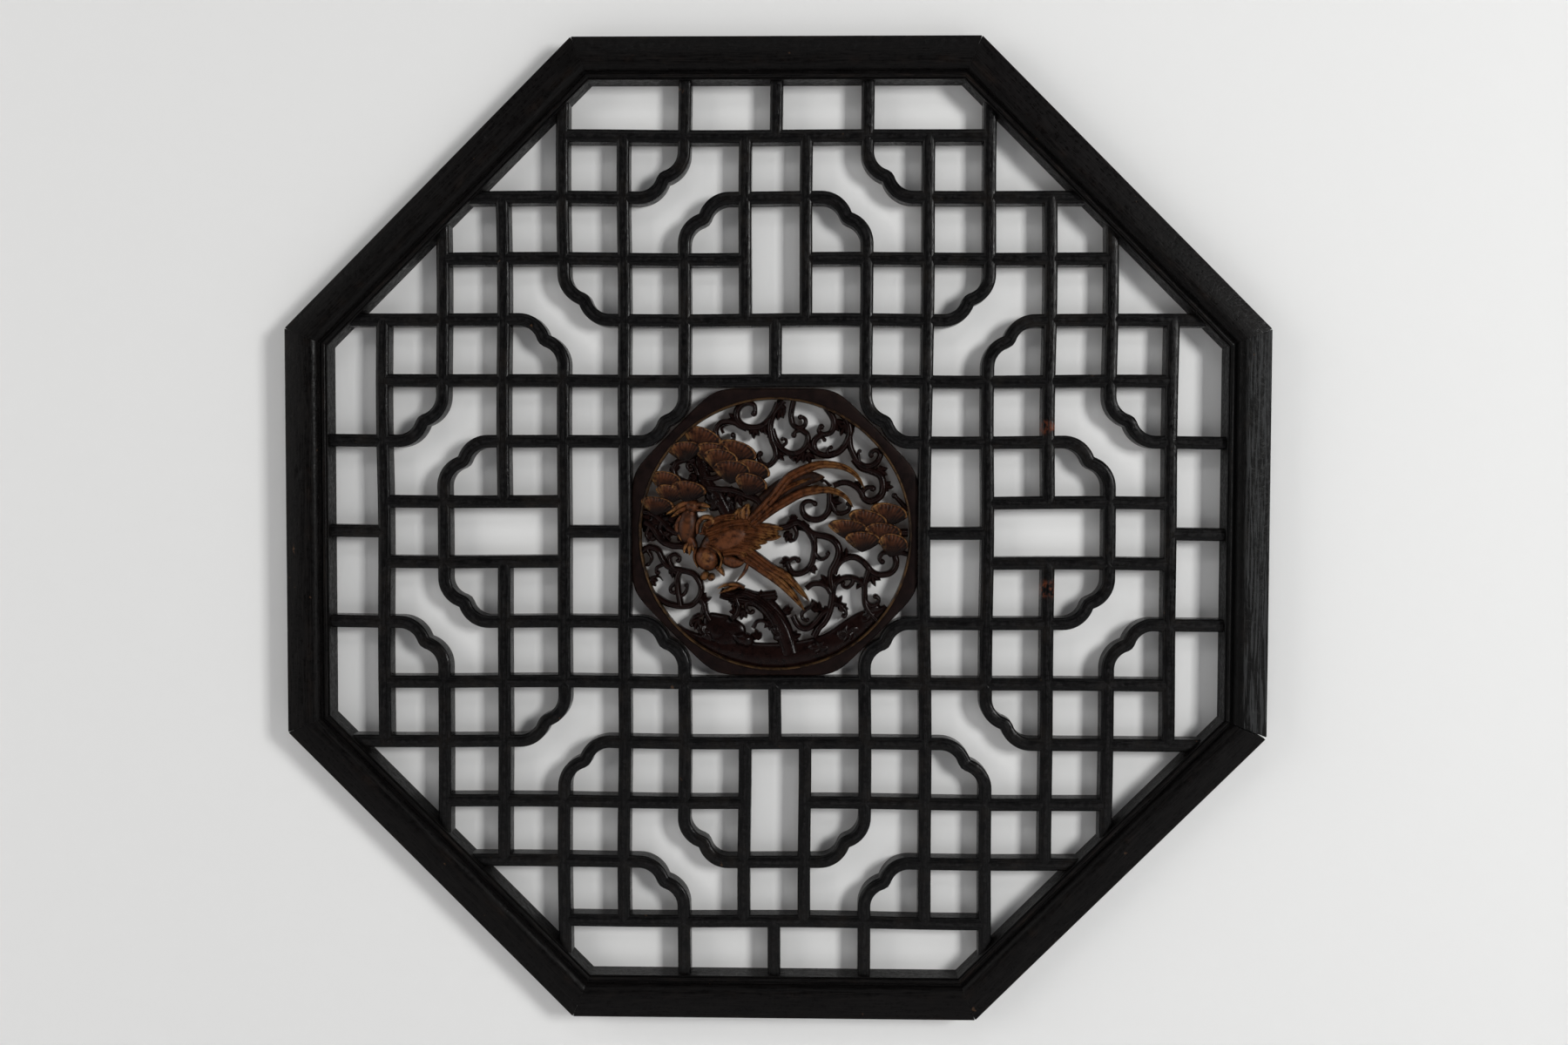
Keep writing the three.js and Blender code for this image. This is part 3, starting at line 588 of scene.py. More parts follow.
def line_mesh(name, strokes):
    """A mesh of bare edges with the strokes' values written on its points."""
    places = np.vstack([s["places"] for s in strokes])
    sides = np.vstack([mitred_sides(s["places"]) * s["values"]["half"][:, None] for s in strokes])
    edges = []
    start = 0
    for s in strokes:
        count = len(s["places"])
        edges += [(start + i, start + i + 1) for i in range(count - 1)]
        start += count
    flat = np.zeros((len(places), 3))
    flat[:, 0] = places[:, 0]
    flat[:, 2] = places[:, 1] + PANEL_MIDDLE
    mesh = bpy.data.meshes.new(name)
    mesh.from_pydata(flat.tolist(), edges, [])
    side = np.zeros((len(places), 3))
    side[:, 0] = sides[:, 0]
    side[:, 2] = sides[:, 1]
    for label, data in (("place", flat), ("side", side)):
        attribute = mesh.attributes.new(label, "FLOAT_VECTOR", "POINT")
        attribute.data.foreach_set("vector", data.astype(np.float32).ravel())
    for label in ("low", "high", "along", "joint", "gilt", "edge"):
        data = np.concatenate([s["values"][label] for s in strokes])
        attribute = mesh.attributes.new(label, "FLOAT", "POINT")
        attribute.data.foreach_set("value", data.astype(np.float32))
    return mesh


def sweep(name, strokes, wood, round_steps=12, shoulder=0.7, crown=1.0, groove=0.0, groove_width=0.25):
    """Run the sweeping tree on the strokes and return the plain mesh that it makes."""
    holder = bpy.data.objects.new(name, line_mesh(name, strokes))
    bpy.context.scene.collection.objects.link(holder)
    modifier = holder.modifiers.new("swept section", "NODES")
    modifier.node_group = sweep_tree
    chosen = {"Round Steps": round_steps, "Shoulder": shoulder, "Crown Power": crown, "Groove": groove,
              "Groove Width": groove_width, "Wood": wood}
    for item in sweep_tree.interface.items_tree:
        if item.item_type == "SOCKET" and item.in_out == "INPUT" and item.name in chosen:
            modifier[item.identifier] = chosen[item.name]
    evaluated = holder.evaluated_get(bpy.context.evaluated_depsgraph_get())
    mesh = bpy.data.meshes.new_from_object(evaluated)
    for label in ("place", "side", "low", "high"):
        if label in mesh.attributes:
            mesh.attributes.remove(mesh.attributes[label])
    bpy.data.objects.remove(holder)
    mesh.name = name
    return mesh


# %% [markdown]
# ## The lattice's pattern
#
# The lattice is drawn on a square grid of thirteen cells. A quarter of it, the top one, is
# written down once; the other quarters are turned copies, and the side pieces are also mirrored.
# Bars that end on another bar run on to its middle line. Two equal round beads that meet at a
# right angle cut each other in a neat V, which is how the real joints look, so the joint needs
# no modelling of its own.

# %% The top quarter's bars
FRAME = "frame"
JOINT = "joint"
RAIL_DROP = 0.18 * MM
RAIL_BACK = 0.15 * MM
BRACKET_BACK = 0.08 * MM


def grid(number):
    return (number - CELLS / 2) * PITCH


def upright(column, top, foot):
    """An upright bar between two numbered lines; top may be the frame."""
    x = grid(column)
    if top != FRAME:
        return {"path": [(x, -grid(top)), (x, -grid(foot))], "ends": (JOINT, JOINT)}
    wall = INNER_WALL + BAR_WIDTH / 4
    half_side = wall * math.tan(math.pi / 8)
    reach = wall if abs(x) < half_side else wall * math.sqrt(2) - abs(x) + BAR_WIDTH / 2
    return {"path": [(x, reach), (x, -grid(foot))], "ends": (FRAME, JOINT)}


def rail(row, left, right):
    z = -grid(row)
    return {"path": [(grid(left), z), (grid(right), z)], "ends": (JOINT, JOINT)}


# %% The cusped bracket
LOBE_RADIUS = 22 * MM
LOBE_SWEEP = math.radians(78)
LOBE_STEPS = 12
CUSP_ROUND = 0.55 * MM


def bracket(corner, first, second):
    """Two lobes that meet in a cusp, from one crossing to the next, round the side away from corner."""
    reach = PITCH - LOBE_RADIUS
    rise = PITCH - LOBE_RADIUS * (1 - math.cos(LOBE_SWEEP) + math.sin(LOBE_SWEEP))
    turns = [LOBE_SWEEP * i / LOBE_STEPS for i in range(LOBE_STEPS + 1)]
    lobe = [(reach + LOBE_RADIUS * math.cos(t), rise + LOBE_RADIUS * math.sin(t)) for t in turns]
    lobe[-1] = (lobe[-1][0] + CUSP_ROUND, lobe[-1][1] + CUSP_ROUND)
    mirrored = [(b, a) for a, b in reversed(lobe[:-1])]
    in_cell = [(PITCH, 0), *lobe, *mirrored, (0, PITCH)]
    origin = np.array([grid(corner[0]), -grid(corner[1])])
    across = np.array([grid(first[0]), -grid(first[1])]) - origin
    down = np.array([grid(second[0]), -grid(second[1])]) - origin
    across /= np.linalg.norm(across)
    down /= np.linalg.norm(down)
    return {"path": [tuple(origin + a * across + b * down) for a, b in in_cell], "ends": (JOINT, JOINT)}


# %% Pieces of the top quarter and of its two flanks
centre = CELLS / 2
quarter = {
    "outer_rail": [rail(0, 3, 10), upright(5, FRAME, 0), upright(8, FRAME, 0),
                   bracket((4, 0), (5, 0), (4, 1)), bracket((9, 0), (8, 0), (9, 1))],
    "outer_strut": [upright(centre, FRAME, 0)],
    "arch": [upright(6, 0, 3), upright(7, 0, 3), rail(1, 6, 7),
             bracket((6, 2), (5, 2), (6, 1)), bracket((7, 2), (8, 2), (7, 1))],
    "inner_rail": [rail(3, 4, 9), upright(5, 2, 4), upright(8, 2, 4), upright(centre, 3, 4)],
}
flank = {
    "side_post": [upright(1, FRAME, 4)],
    "short_post": [upright(3, FRAME, 2)],
    "tie": [rail(2, 1, 6), bracket((4, 2), (3, 2), (4, 3))],
}
long_bar = [upright(4, 0, 13)]
square_bracket = [bracket((4, 4), (5, 4), (4, 5))]


def turned(bars, quarters, mirrored=False):
    """Copies of the bars, mirrored left to right if asked, then turned clockwise by quarters."""
    def place(p):
        x, z = (-p[0], p[1]) if mirrored else p
        for _ in range(quarters):
            x, z = z, -x
        return x, z
    return [{**bar, "path": [place(p) for p in bar["path"]]} for bar in bars]


# %% All the pieces by name
sides = [("top", ("left", "right")), ("right", ("upper", "lower")),
         ("bottom", ("right", "left")), ("left", ("lower", "upper"))]
long_names = ["left", "top", "right", "bottom"]
corner_names = ["top_left", "top_right", "bottom_right", "bottom_left"]
lattice = {}
for k, (side, ends) in enumerate(sides):
    lattice[f"long_bar_{long_names[k]}"] = turned(long_bar, k)
    lattice[f"square_bracket_{corner_names[k]}"] = turned(square_bracket, k)
    for name, bars in quarter.items():
        lattice[f"{name}_{side}"] = turned(bars, k)
    for name, bars in flank.items():
        for mirrored, end in enumerate(ends):
            lattice[f"{name}_{side}_{end}"] = turned(bars, k, bool(mirrored))
straight_bars = [bar for bars in lattice.values() for bar in bars if len(bar["path"]) == 2]
print("lattice:", len(lattice), "pieces,", len(straight_bars), "straight bars,",
      sum(len(b) for b in lattice.values()) - len(straight_bars), "brackets")

# %% [markdown]
# ## Hand work in the bars
#
# No bar is quite straight. A slow wave of a few tenths of a millimetre runs over the whole
# lattice, the same for every bar that passes a place, so joints stay closed. The two uprights
# beside the roundel also bend towards it, the right one by nearly three millimetres, as on the
# real panel.

# %% The unevenness of the lattice
WAVE = 0.32 * MM
BOW_LENGTH = 2.9 * PITCH
BOW_REACH = 0.45 * PITCH
bows = {2.5 * PITCH: -2.6 * MM, -2.5 * PITCH: 0.9 * MM}


def wander(places):
    x, z = places[:, 0], places[:, 1]
    shift_x = WAVE * (np.sin(z / (31 * MM) + 1.3) + np.sin(x / (83 * MM) + z / (47 * MM)))
    shift_z = WAVE * (np.sin(x / (37 * MM) + 0.4) + np.sin(z / (71 * MM) - x / (53 * MM)))
    for bar_x, bow in bows.items():
        lengthwise = np.cos(np.clip(z / BOW_LENGTH, -1, 1) * math.pi / 2) ** 2
        shift_x = shift_x + bow * lengthwise * np.exp(-((x - bar_x) / BOW_REACH) ** 2)
    return places + np.stack([shift_x, shift_z], axis=1)


# %% [markdown]
# On the right, one upright has lost its black in two small places, down to the orange wood.

# %% Points along a bar, with the distance to the nearest joint
STATION = 9 * MM
BARE_STEP = 2.5 * MM
bare_spots = [((4.5 * PITCH, 91 * MM), 5.2 * MM), ((4.5 * PITCH, -48 * MM), 6.2 * MM)]


def is_upright(bar):
    return len(bar["path"]) == 2 and abs(bar["path"][0][0] - bar["path"][1][0]) < MM


def joints_on(bar):
    """Distances from the bar's start to the joints that show on it."""
    start = np.array(bar["path"][0])
    end = np.array(bar["path"][-1])
    length = float(np.abs(end - start).sum())
    found = [0.0] if bar["ends"][0] == JOINT else []
    found += [length] if bar["ends"][1] == JOINT else []
    if is_upright(bar):
        return found
    for other in straight_bars:
        if not is_upright(other):
            continue
        x = other["path"][0][0]
        low, high = sorted(p[1] for p in other["path"])
        inside = min(start[0], end[0]) + BAR_WIDTH < x < max(start[0], end[0]) - BAR_WIDTH
        if inside and low - MM < start[1] < high + MM:
            found.append(abs(x - start[0]))
    return found


def bar_stroke(bar):
    path = np.array(bar["path"], float)
    front = BAR_FRONT if is_upright(bar) else BAR_FRONT - RAIL_DROP
    half = BAR_WIDTH / 2
    back = BAR_BACK if is_upright(bar) else BAR_BACK + RAIL_BACK
    if len(path) > 2:
        lengths = np.concatenate([[0], np.cumsum(np.linalg.norm(np.diff(path, axis=0), axis=1))])
        middle_low = path[0] + (path[1] - path[0]) * min(1, half / lengths[1])
        middle_high = path[-1] + (path[-2] - path[-1]) * min(1, half / lengths[1])
        path = np.vstack([path[:1], middle_low, path[1:-1], middle_high, path[-1:]])
        lengths = np.concatenate([[0], np.cumsum(np.linalg.norm(np.diff(path, axis=0), axis=1))])
        joint = np.minimum(lengths, lengths[-1] - lengths)
        return stroke(wander(path), half, BAR_BACK + BRACKET_BACK, front, joint=joint, edge=0.8)
    length = float(np.linalg.norm(path[1] - path[0]))
    joints = joints_on(bar)
    stations = set(np.linspace(0, length, max(2, round(length / STATION)) + 1))
    for s in joints:
        near = [t for t in stations if abs(t - s) < 1.2 * half and 0 < t < length]
        stations -= set(near)
        stations |= {t for t in (s - half, s, s + half) if 0 <= t <= length}
    along = (path[1] - path[0]) / length
    for spot, reach in bare_spots:
        s = float((np.array(spot) - path[0]) @ along)
        aside = np.linalg.norm(path[0] + s * along - spot)
        if aside < BAR_WIDTH / 2:
            stations |= {t for t in s + BARE_STEP * np.arange(-6, 7) if 0 < t < length}
    stations = np.array(sorted(stations))
    joint = np.min([np.abs(stations - s) for s in joints], axis=0) if joints else 1.0
    places = path[0] + (path[1] - path[0]) * (stations / length)[:, None]
    bare = np.zeros(len(stations))
    for spot, reach in bare_spots:
        bare = np.maximum(bare, np.exp(-(np.linalg.norm(places - spot, axis=1) / reach) ** 4))
    return stroke(wander(places), half, back, front, joint=joint, edge=0.8, gilt=bare)


# %% [markdown]
# ## Making the lattice
#
# The section is a deep plain web with a half-round bead for its front, about as wide as a
# finger. `Shoulder` is the share of the depth where the bead begins. Rails lie a hair shallower
# than uprights, in front and behind, because two faces in one plane would fight in the picture.

# %% Sweep every piece of the lattice
BEAD_RISE = 3.1 * MM
BEAD_STEPS = 14
BEAD_CROWN = 0.62
bead_shoulder = 1 - BEAD_RISE / (BAR_FRONT - BAR_BACK)
lattice_faces = 0
for node, bars in lattice.items():
    mesh = sweep(f"fine_{node}", [bar_stroke(bar) for bar in bars], lattice_wood, BEAD_STEPS, bead_shoulder,
                 BEAD_CROWN)
    piece = finish_piece(f"fine_{node}", mesh, lattice_wood, node)
    lattice_faces += len(piece.data.polygons)
print("lattice made:", lattice_faces, "faces")

# %% [markdown]
# ## The frame
#
# Eight mitred lengths of one moulding. From the outside in: a plain edge with a rubbed arris, a
# broad face that swells gently to a crest, a quarter-round step down, a narrow dark channel, and
# a small bead against the lattice. The outline is written as short pieces of curve, then each
# length is skinned from rings that end on the mitre lines.

# %% The moulding's outline, as (inset from the outer wall, depth)
ARRIS = 1.5 * MM
CREST_RISE = 3 * MM
SIDE_DEPTH = FRAME_FRONT - CREST_RISE
CREST_AT = 21 * MM
SHOULDER_WIDTH = 8 * MM
SHOULDER_DROP = 7 * MM
CHANNEL = FRAME_FRONT - SHOULDER_DROP
FILLET_WIDTH = 5.5 * MM
FILLET_AT = FRAME_WIDTH - FILLET_WIDTH
FILLET_BEAD = 2.1 * MM


def moulding():
    outline = [(0, 0), (0, SIDE_DEPTH / 3), (0, 2 * SIDE_DEPTH / 3), (0, SIDE_DEPTH - ARRIS)]
    for turn in np.linspace(0, math.pi / 2, 5)[1:]:
        outline.append((ARRIS * (1 - math.cos(turn)), SIDE_DEPTH - ARRIS + ARRIS * math.sin(turn)))
    for t in np.linspace(0, 1, 13)[1:]:
        outline.append((ARRIS + t * (CREST_AT - ARRIS), SIDE_DEPTH + CREST_RISE * math.sin(t * math.pi / 2)))
    for turn in np.linspace(0, math.pi / 2, 9)[1:]:
        outline.append((CREST_AT + SHOULDER_WIDTH * math.sin(turn), CHANNEL + SHOULDER_DROP * math.cos(turn)))
    floor = CHANNEL - 0.1 * MM
    outline += [(CREST_AT + SHOULDER_WIDTH + 0.3 * MM, floor), (FILLET_AT - 0.3 * MM, floor)]
    for turn in np.linspace(0, math.pi, 8):
        outline.append((FILLET_AT + FILLET_BEAD * (1 - math.cos(turn)),
                        CHANNEL + FILLET_BEAD * 0.95 * math.sin(turn) ** 0.8))
    past_bead = FILLET_AT + 2 * FILLET_BEAD
    outline += [(past_bead + 0.2 * MM, CHANNEL - 0.3 * MM), (past_bead + 0.5 * MM, CHANNEL + MM)]
    outline += [(FRAME_WIDTH - 0.3 * MM, CHANNEL + 1.2 * MM), (FRAME_WIDTH, CHANNEL + 0.9 * MM),
                (FRAME_WIDTH, 0)]
    return np.array(outline)


outline = moulding()
print("moulding:", len(outline), "points")

# %% One member of the frame
CORNER_EASE = 0.8 * MM
EASE_REACH = 2.4 * MM
MITRE_GAP = 0.02 * MM
OPEN_MITRE = 1.4 * MM
SECTION_STEP = 2.4 * MM
member_names = ["top", "top_right", "right", "bottom_right", "bottom", "bottom_left", "left", "top_left"]
open_corner = member_names.index("right")
EIGHTH = math.pi / 4


def mitre_reach(inset, gap):
    ease = np.clip(1 - inset / EASE_REACH, 0, 1) ** 2 * CORNER_EASE
    return (OUTER_WALL - inset) * math.tan(EIGHTH / 2) - gap / (2 * math.cos(EIGHTH / 2)) - ease


def open_gap():
    """The joint that has opened: it gapes at its front and its outer end, and still touches behind."""
    front_share = np.clip((outline[:, 1] - SIDE_DEPTH + 6 * MM) / (4 * MM), 0, 1)
    outer_share = np.clip(1.1 - outline[:, 0] / FRAME_WIDTH, 0.3, 1)
    return MITRE_GAP + (OPEN_MITRE - MITRE_GAP) * front_share * outer_share


dents = {
    "top": [(-0.152, 0.012, 1.1), (-0.146, 0.017, 0.7), (0.031, 0.009, 0.6), (0.127, 0.014, 0.9)],
    "right": [(0.148, 0.011, 1.0), (-0.06, 0.007, 0.6)],
    "bottom": [(0.07, 0.010, 0.8), (-0.11, 0.015, 0.6)],
    "left": [(0.05, 0.012, 0.8)],
    "top_left": [(0.06, 0.008, 0.9), (-0.03, 0.016, 0.6)],
    "bottom_right": [(-0.142, 0.013, 0.9)],
}
DENT_RADIUS = 2.2 * MM


def frame_member(name, k):
    gap_start = open_gap() if k == open_corner + 1 else MITRE_GAP
    gap_end = open_gap() if k == open_corner else MITRE_GAP
    inset, depth = outline[:, 0], outline[:, 1]
    length = 2 * mitre_reach(0, MITRE_GAP)
    count = round(length / SECTION_STEP)
    shares = np.concatenate([[0], np.linspace(0.002, 0.998, count), [1]])
    rings, along = [], []
    for share in shares:
        x = (1 - share) * -mitre_reach(inset, gap_start) + share * mitre_reach(inset, gap_end)
        soft = 0.1 * MM if share in (0, 1) else 0.0
        proud = np.clip((depth - CHANNEL / 2) / CHANNEL, 0, 1)
        wave = 0.12 * MM * (np.sin(x / (23 * MM) + 2.1 * k)
                            + np.sin(x / (61 * MM) + 9 * inset / FRAME_WIDTH + k))
        front = depth - proud * (soft - np.minimum(wave, 0))
        for dent_x, dent_inset, dent_depth in dents.get(name, []):
            distance = ((x - dent_x) ** 2 + (inset - dent_inset) ** 2) / DENT_RADIUS ** 2
            front = front - (depth > SIDE_DEPTH) * dent_depth * MM * np.exp(-distance)
        across = OUTER_WALL - inset
        rings.append(np.stack([x, -np.maximum(front, 0), across], axis=1))
        along.append(x)
    rings = np.array(rings)
    turn = k * EIGHTH
    x, z = rings[..., 0].copy(), rings[..., 2].copy()
    rings[..., 0] = x * math.cos(turn) + z * math.sin(turn)
    rings[..., 2] = -x * math.sin(turn) + z * math.cos(turn) + PANEL_MIDDLE
    return rings, np.array(along)


# %% Skin rings into a mesh and write values on its points
def skin(name, rings, loop=False, marks=None):
    """Join rows of points into one closed mesh: a tube with two caps, or a loop with none."""
    rings = np.asarray(rings)
    rows, size = rings.shape[:2]
    faces = []
    for r in range(rows if loop else rows - 1):
        here, there = r * size, ((r + 1) % rows) * size
        faces += [(here + i, here + (i + 1) % size, there + (i + 1) % size, there + i) for i in range(size)]
    if not loop:
        faces += [tuple(range(size)), tuple(range((rows - 1) * size, rows * size))]
    mesh = bpy.data.meshes.new(name)
    mesh.from_pydata(rings.reshape(-1, 3).tolist(), [], faces)
    for label, values in (marks or {}).items():
        attribute = mesh.attributes.new(label, "FLOAT", "POINT")
        spread_values = np.broadcast_to(values, rings.shape[:2]).astype(np.float32)
        attribute.data.foreach_set("value", spread_values.ravel())
    return mesh


# %% Make the eight members
on_arris = np.exp(-((outline[:, 0] - ARRIS / 2) / ARRIS) ** 2) * (outline[:, 1] > SIDE_DEPTH - 2 * ARRIS)
on_crest = 0.7 * np.exp(-((outline[:, 0] - CREST_AT) / (3 * MM)) ** 2)
on_bead = 0.8 * np.exp(-((outline[:, 0] - FILLET_AT - 2 * MM) / (1.5 * MM)) ** 2) * (outline[:, 1] > CHANNEL)
girth = np.concatenate([[0], np.cumsum(np.linalg.norm(np.diff(outline, axis=0), axis=1))])
frame_edge = np.clip(on_arris + on_crest + on_bead, 0, 1)
for k, name in enumerate(member_names):
    rings, along = frame_member(name, k)
    values = {"along": along + 0.5 * k, "w": girth / (BAR_WIDTH / 2), "v": 0.1 * k, "edge": frame_edge}
    mesh = skin(f"fine_frame_{name}", rings, marks=values)
    wood = frame_wood_in_painted_raking_light if name == "right" else frame_wood
    finish_piece(f"fine_frame_{name}", mesh, wood, f"frame_{name}", FRAME_SHARP)
print("frame made:", len(member_names), "members")

# %% [markdown]
# ## The roundel's board
#
# The carving is cut from one board that fills the middle square. Its corners are sawn off to
# clear the brackets and its edges are worn round. A polar grid suits it: spokes run round the
# board, and each spoke carries the section of the rim, from the hole's wall over the rounded
# front to the outer edge and back.

# %% A board with soft corners and a round hole
SPOKES = 224
LOBE_END = PITCH - LOBE_RADIUS * (1 - math.cos(LOBE_SWEEP) + math.sin(LOBE_SWEEP))
BRACKET_BELLY = (PITCH - LOBE_RADIUS + LOBE_END) / math.sqrt(2) + LOBE_RADIUS + BAR_WIDTH / 2
CORNER_REACH = 2.5 * PITCH * math.sqrt(2) - BRACKET_BELLY - 1.2 * MM
CORNER_SOFTNESS = 26
turns = np.linspace(0, 2 * math.pi, SPOKES, endpoint=False)


def board_reach(turn):
    """Distance from the middle to the board's edge, a rounded octagon."""
    pulls = np.zeros_like(turn)
    for i in range(8):
        reach = PLANK_REACH if i % 2 == 0 else CORNER_REACH
        facing = np.clip(np.cos(turn - i * EIGHTH), 0.05, None)
        pulls = pulls + (facing / reach) ** CORNER_SOFTNESS
    return pulls ** (-1 / CORNER_SOFTNESS)


def rim_section(outer, inner):
    """Section of the rim as (distance, depth) from the hole's wall round to the back."""
    worn = 1.8 * MM
    section = [(inner, CARVING_BACK), (inner, PLANK_FRONT - 0.4 * MM), (inner + 0.3 * MM, PLANK_FRONT)]
    section += [(inner + (outer - inner) * t, PLANK_FRONT + 0.25 * MM * math.sin(math.pi * t))
                for t in (0.3, 0.55)]
    for turn in np.linspace(0, math.pi / 2, 6):
        section.append((outer - worn + worn * math.sin(turn), PLANK_FRONT - worn + worn * math.cos(turn)))
    section += [(outer, (PLANK_FRONT + PLANK_BACK) / 2), (outer, PLANK_BACK + 0.3 * MM)]
    section += [(outer - 0.3 * MM, PLANK_BACK), (inner, PLANK_BACK)]
    return section


reaches = board_reach(turns)
rim_rows = []
for turn, outer in zip(turns, reaches):
    outer_from_ring = outer - 0.3 * MM * math.sin(3 * turn) ** 2
    row = rim_section(outer_from_ring, RING_RADIUS)
    rim_rows.append([(
        d * math.cos(turn),
        -v,
        PANEL_MIDDLE + d * math.sin(turn)
        - RING_DROP * np.clip((outer_from_ring - d) / (outer_from_ring - RING_RADIUS), 0, 1),
    ) for d, v in row])
rim_rows = np.array(rim_rows)
rim_size = rim_rows.shape[1]
rim_edge = np.zeros(rim_size)
rim_edge[5:10] = 1
rim_marks = {"v": np.linspace(0.9, 0.9, rim_size), "gilt": rim_edge, "along": turns[:, None] * RING_RADIUS,
             "w": 0.0}
rim_mesh = skin("fine_roundel_board", rim_rows, loop=True, marks=rim_marks)
finish_piece("fine_roundel_board", rim_mesh, rim_wood, "roundel")
print("board:", len(rim_mesh.polygons), "faces")

# %% The worn gilt bead round the hole
BEAD_TOP = PLANK_FRONT + 1.6 * MM
bead_rows = []
for turn in turns:
    row = [(RING_RADIUS - RING_WIDTH / 2, CARVING_BACK + 2 * MM),
           (RING_RADIUS + RING_WIDTH / 2, CARVING_BACK + 2 * MM)]
    for t in np.linspace(0, math.pi, 9):
        row.append((RING_RADIUS + RING_WIDTH / 2 * math.cos(t),
                    PLANK_FRONT - 0.3 * MM + (BEAD_TOP - PLANK_FRONT + 0.3 * MM) * math.sin(t)))
    ring_middle = PANEL_MIDDLE - RING_DROP
    bead_rows.append([(d * math.cos(turn), -v, ring_middle + d * math.sin(turn)) for d, v in row])
# Painted highlight: the bead's colour value is low at its foot and highest along its crown.
bead_marks = {"v": np.array([0.2, 0.2, 0.7, 0.8, 0.9, 1, 1, 1, 0.9, 0.8, 0.7]), "gilt": 1.0}
bead_mesh = skin("fine_roundel_bead", bead_rows, loop=True, marks=bead_marks)
finish_piece("fine_roundel_bead", bead_mesh, ring_gilding, "roundel")

# %% [markdown]
# ## Drawing the carving
#
# A carver draws the design on the board before cutting. The drawing here is a grid where the
# bead ring has a radius of 156 units round the point (893, 613), counted to the right and
# downwards. `drawn` turns places of the drawing into metres on the panel. A smooth curve runs
# through the places of each line, with points about every millimetre.

# %% From the drawing to the panel
DRAWING_RADIUS = 156
DRAWING_MIDDLE = np.array([893, 613])
UNIT = RING_RADIUS / DRAWING_RADIUS


def drawn(places):
    offset = (np.asarray(places, float) - DRAWING_MIDDLE) * UNIT
    return np.stack([offset[:, 0], -offset[:, 1] - RING_DROP], axis=1)


def smooth(places, spacing=0.9 * MM):
    """An even run of points on a smooth curve through the places."""
    p = np.asarray(places, float)
    p = np.vstack([2 * p[0] - p[1], p, 2 * p[-1] - p[-2]])
    t = np.linspace(0, 1, 16, endpoint=False)[:, None]
    run = []
    for a, b, c, d in zip(p, p[1:], p[2:], p[3:]):
        run.append(0.5 * (2 * b + (c - a) * t + (2 * a - 5 * b + 4 * c - d) * t ** 2
                          + (3 * b - a - 3 * c + d) * t ** 3))
    run = np.vstack([*run, p[-2:-1]])
    lengths = np.concatenate([[0], np.cumsum(np.linalg.norm(np.diff(run, axis=0), axis=1))])
    even = np.linspace(0, lengths[-1], max(3, round(lengths[-1] / spacing)) + 1)
    return np.stack([np.interp(even, lengths, run[:, i]) for i in (0, 1)], axis=1), even


# %% [markdown]
# A vine keeps its width along its stem, thins a little into its curl and ends in a round knob.
# Leaves and feathers swell from a narrow root and come to a point. Behind, no two cuts of the
# knife end at quite the same depth.

# %% Vines, leaves and feathers
VINE_FRONT = CARVING_BACK + 9.8 * MM
VINE_FULLNESS = 1.25
BACK_SPREAD = 0.5 * MM
GOLDEN_SHARE = 0.618
cuts = itertools.count()


def cut_back():
    return CARVING_BACK + BACK_SPREAD * (next(cuts) * GOLDEN_SHARE % 1)


def vine(places, width=8.0, start="root", end="knob", front=VINE_FRONT):
    path, s = smooth(drawn(places))
    half = VINE_FULLNESS * width * UNIT / 2
    body = np.full_like(s, half)
    for kind, d in ((start, s), (end, s[-1] - s)):
        if kind == "root":
            continue
        body *= 0.58 + 0.42 * np.clip(d / (9 * half), 0, 1)
        if kind == "knob":
            knob = 0.92 * half
            ball = np.sqrt(np.clip(knob ** 2 - (d - knob) ** 2, (0.08 * knob) ** 2, None)) * (d < 2 * knob)
            body = np.where(d < knob, ball, np.maximum(body, ball))
        else:
            body *= np.clip(d / (5 * half), 0.06, 1) ** 0.75
    rise = (front - CARVING_BACK) * (0.72 + 0.28 * body / half)
    return stroke(path, body, cut_back(), CARVING_BACK + rise)


def blade(places, width, front, low=CARVING_BACK, root=0.5, full=0.35, gilt_tip=0.25, tip_drop=0.12):
    """A feather or leaf: full where `full` says, pointed at its end."""
    path, s = smooth(drawn(places), 1.1 * MM)
    t = s / s[-1]
    swelling = np.where(t < full, root + (1 - root) * np.sin(np.pi / 2 * t / full),
                        np.cos(np.pi / 2 * np.clip((t - full) / (1 - full), 0, 1)) ** 0.6)
    body = width * UNIT / 2 * np.clip(swelling, 0.04, 1)
    high = low + (front - low) * (1 - tip_drop * t)
    gilt = np.clip((t - 1 + gilt_tip) / gilt_tip, 0, 1)
    return stroke(path, body, cut_back(), high, gilt=gilt)


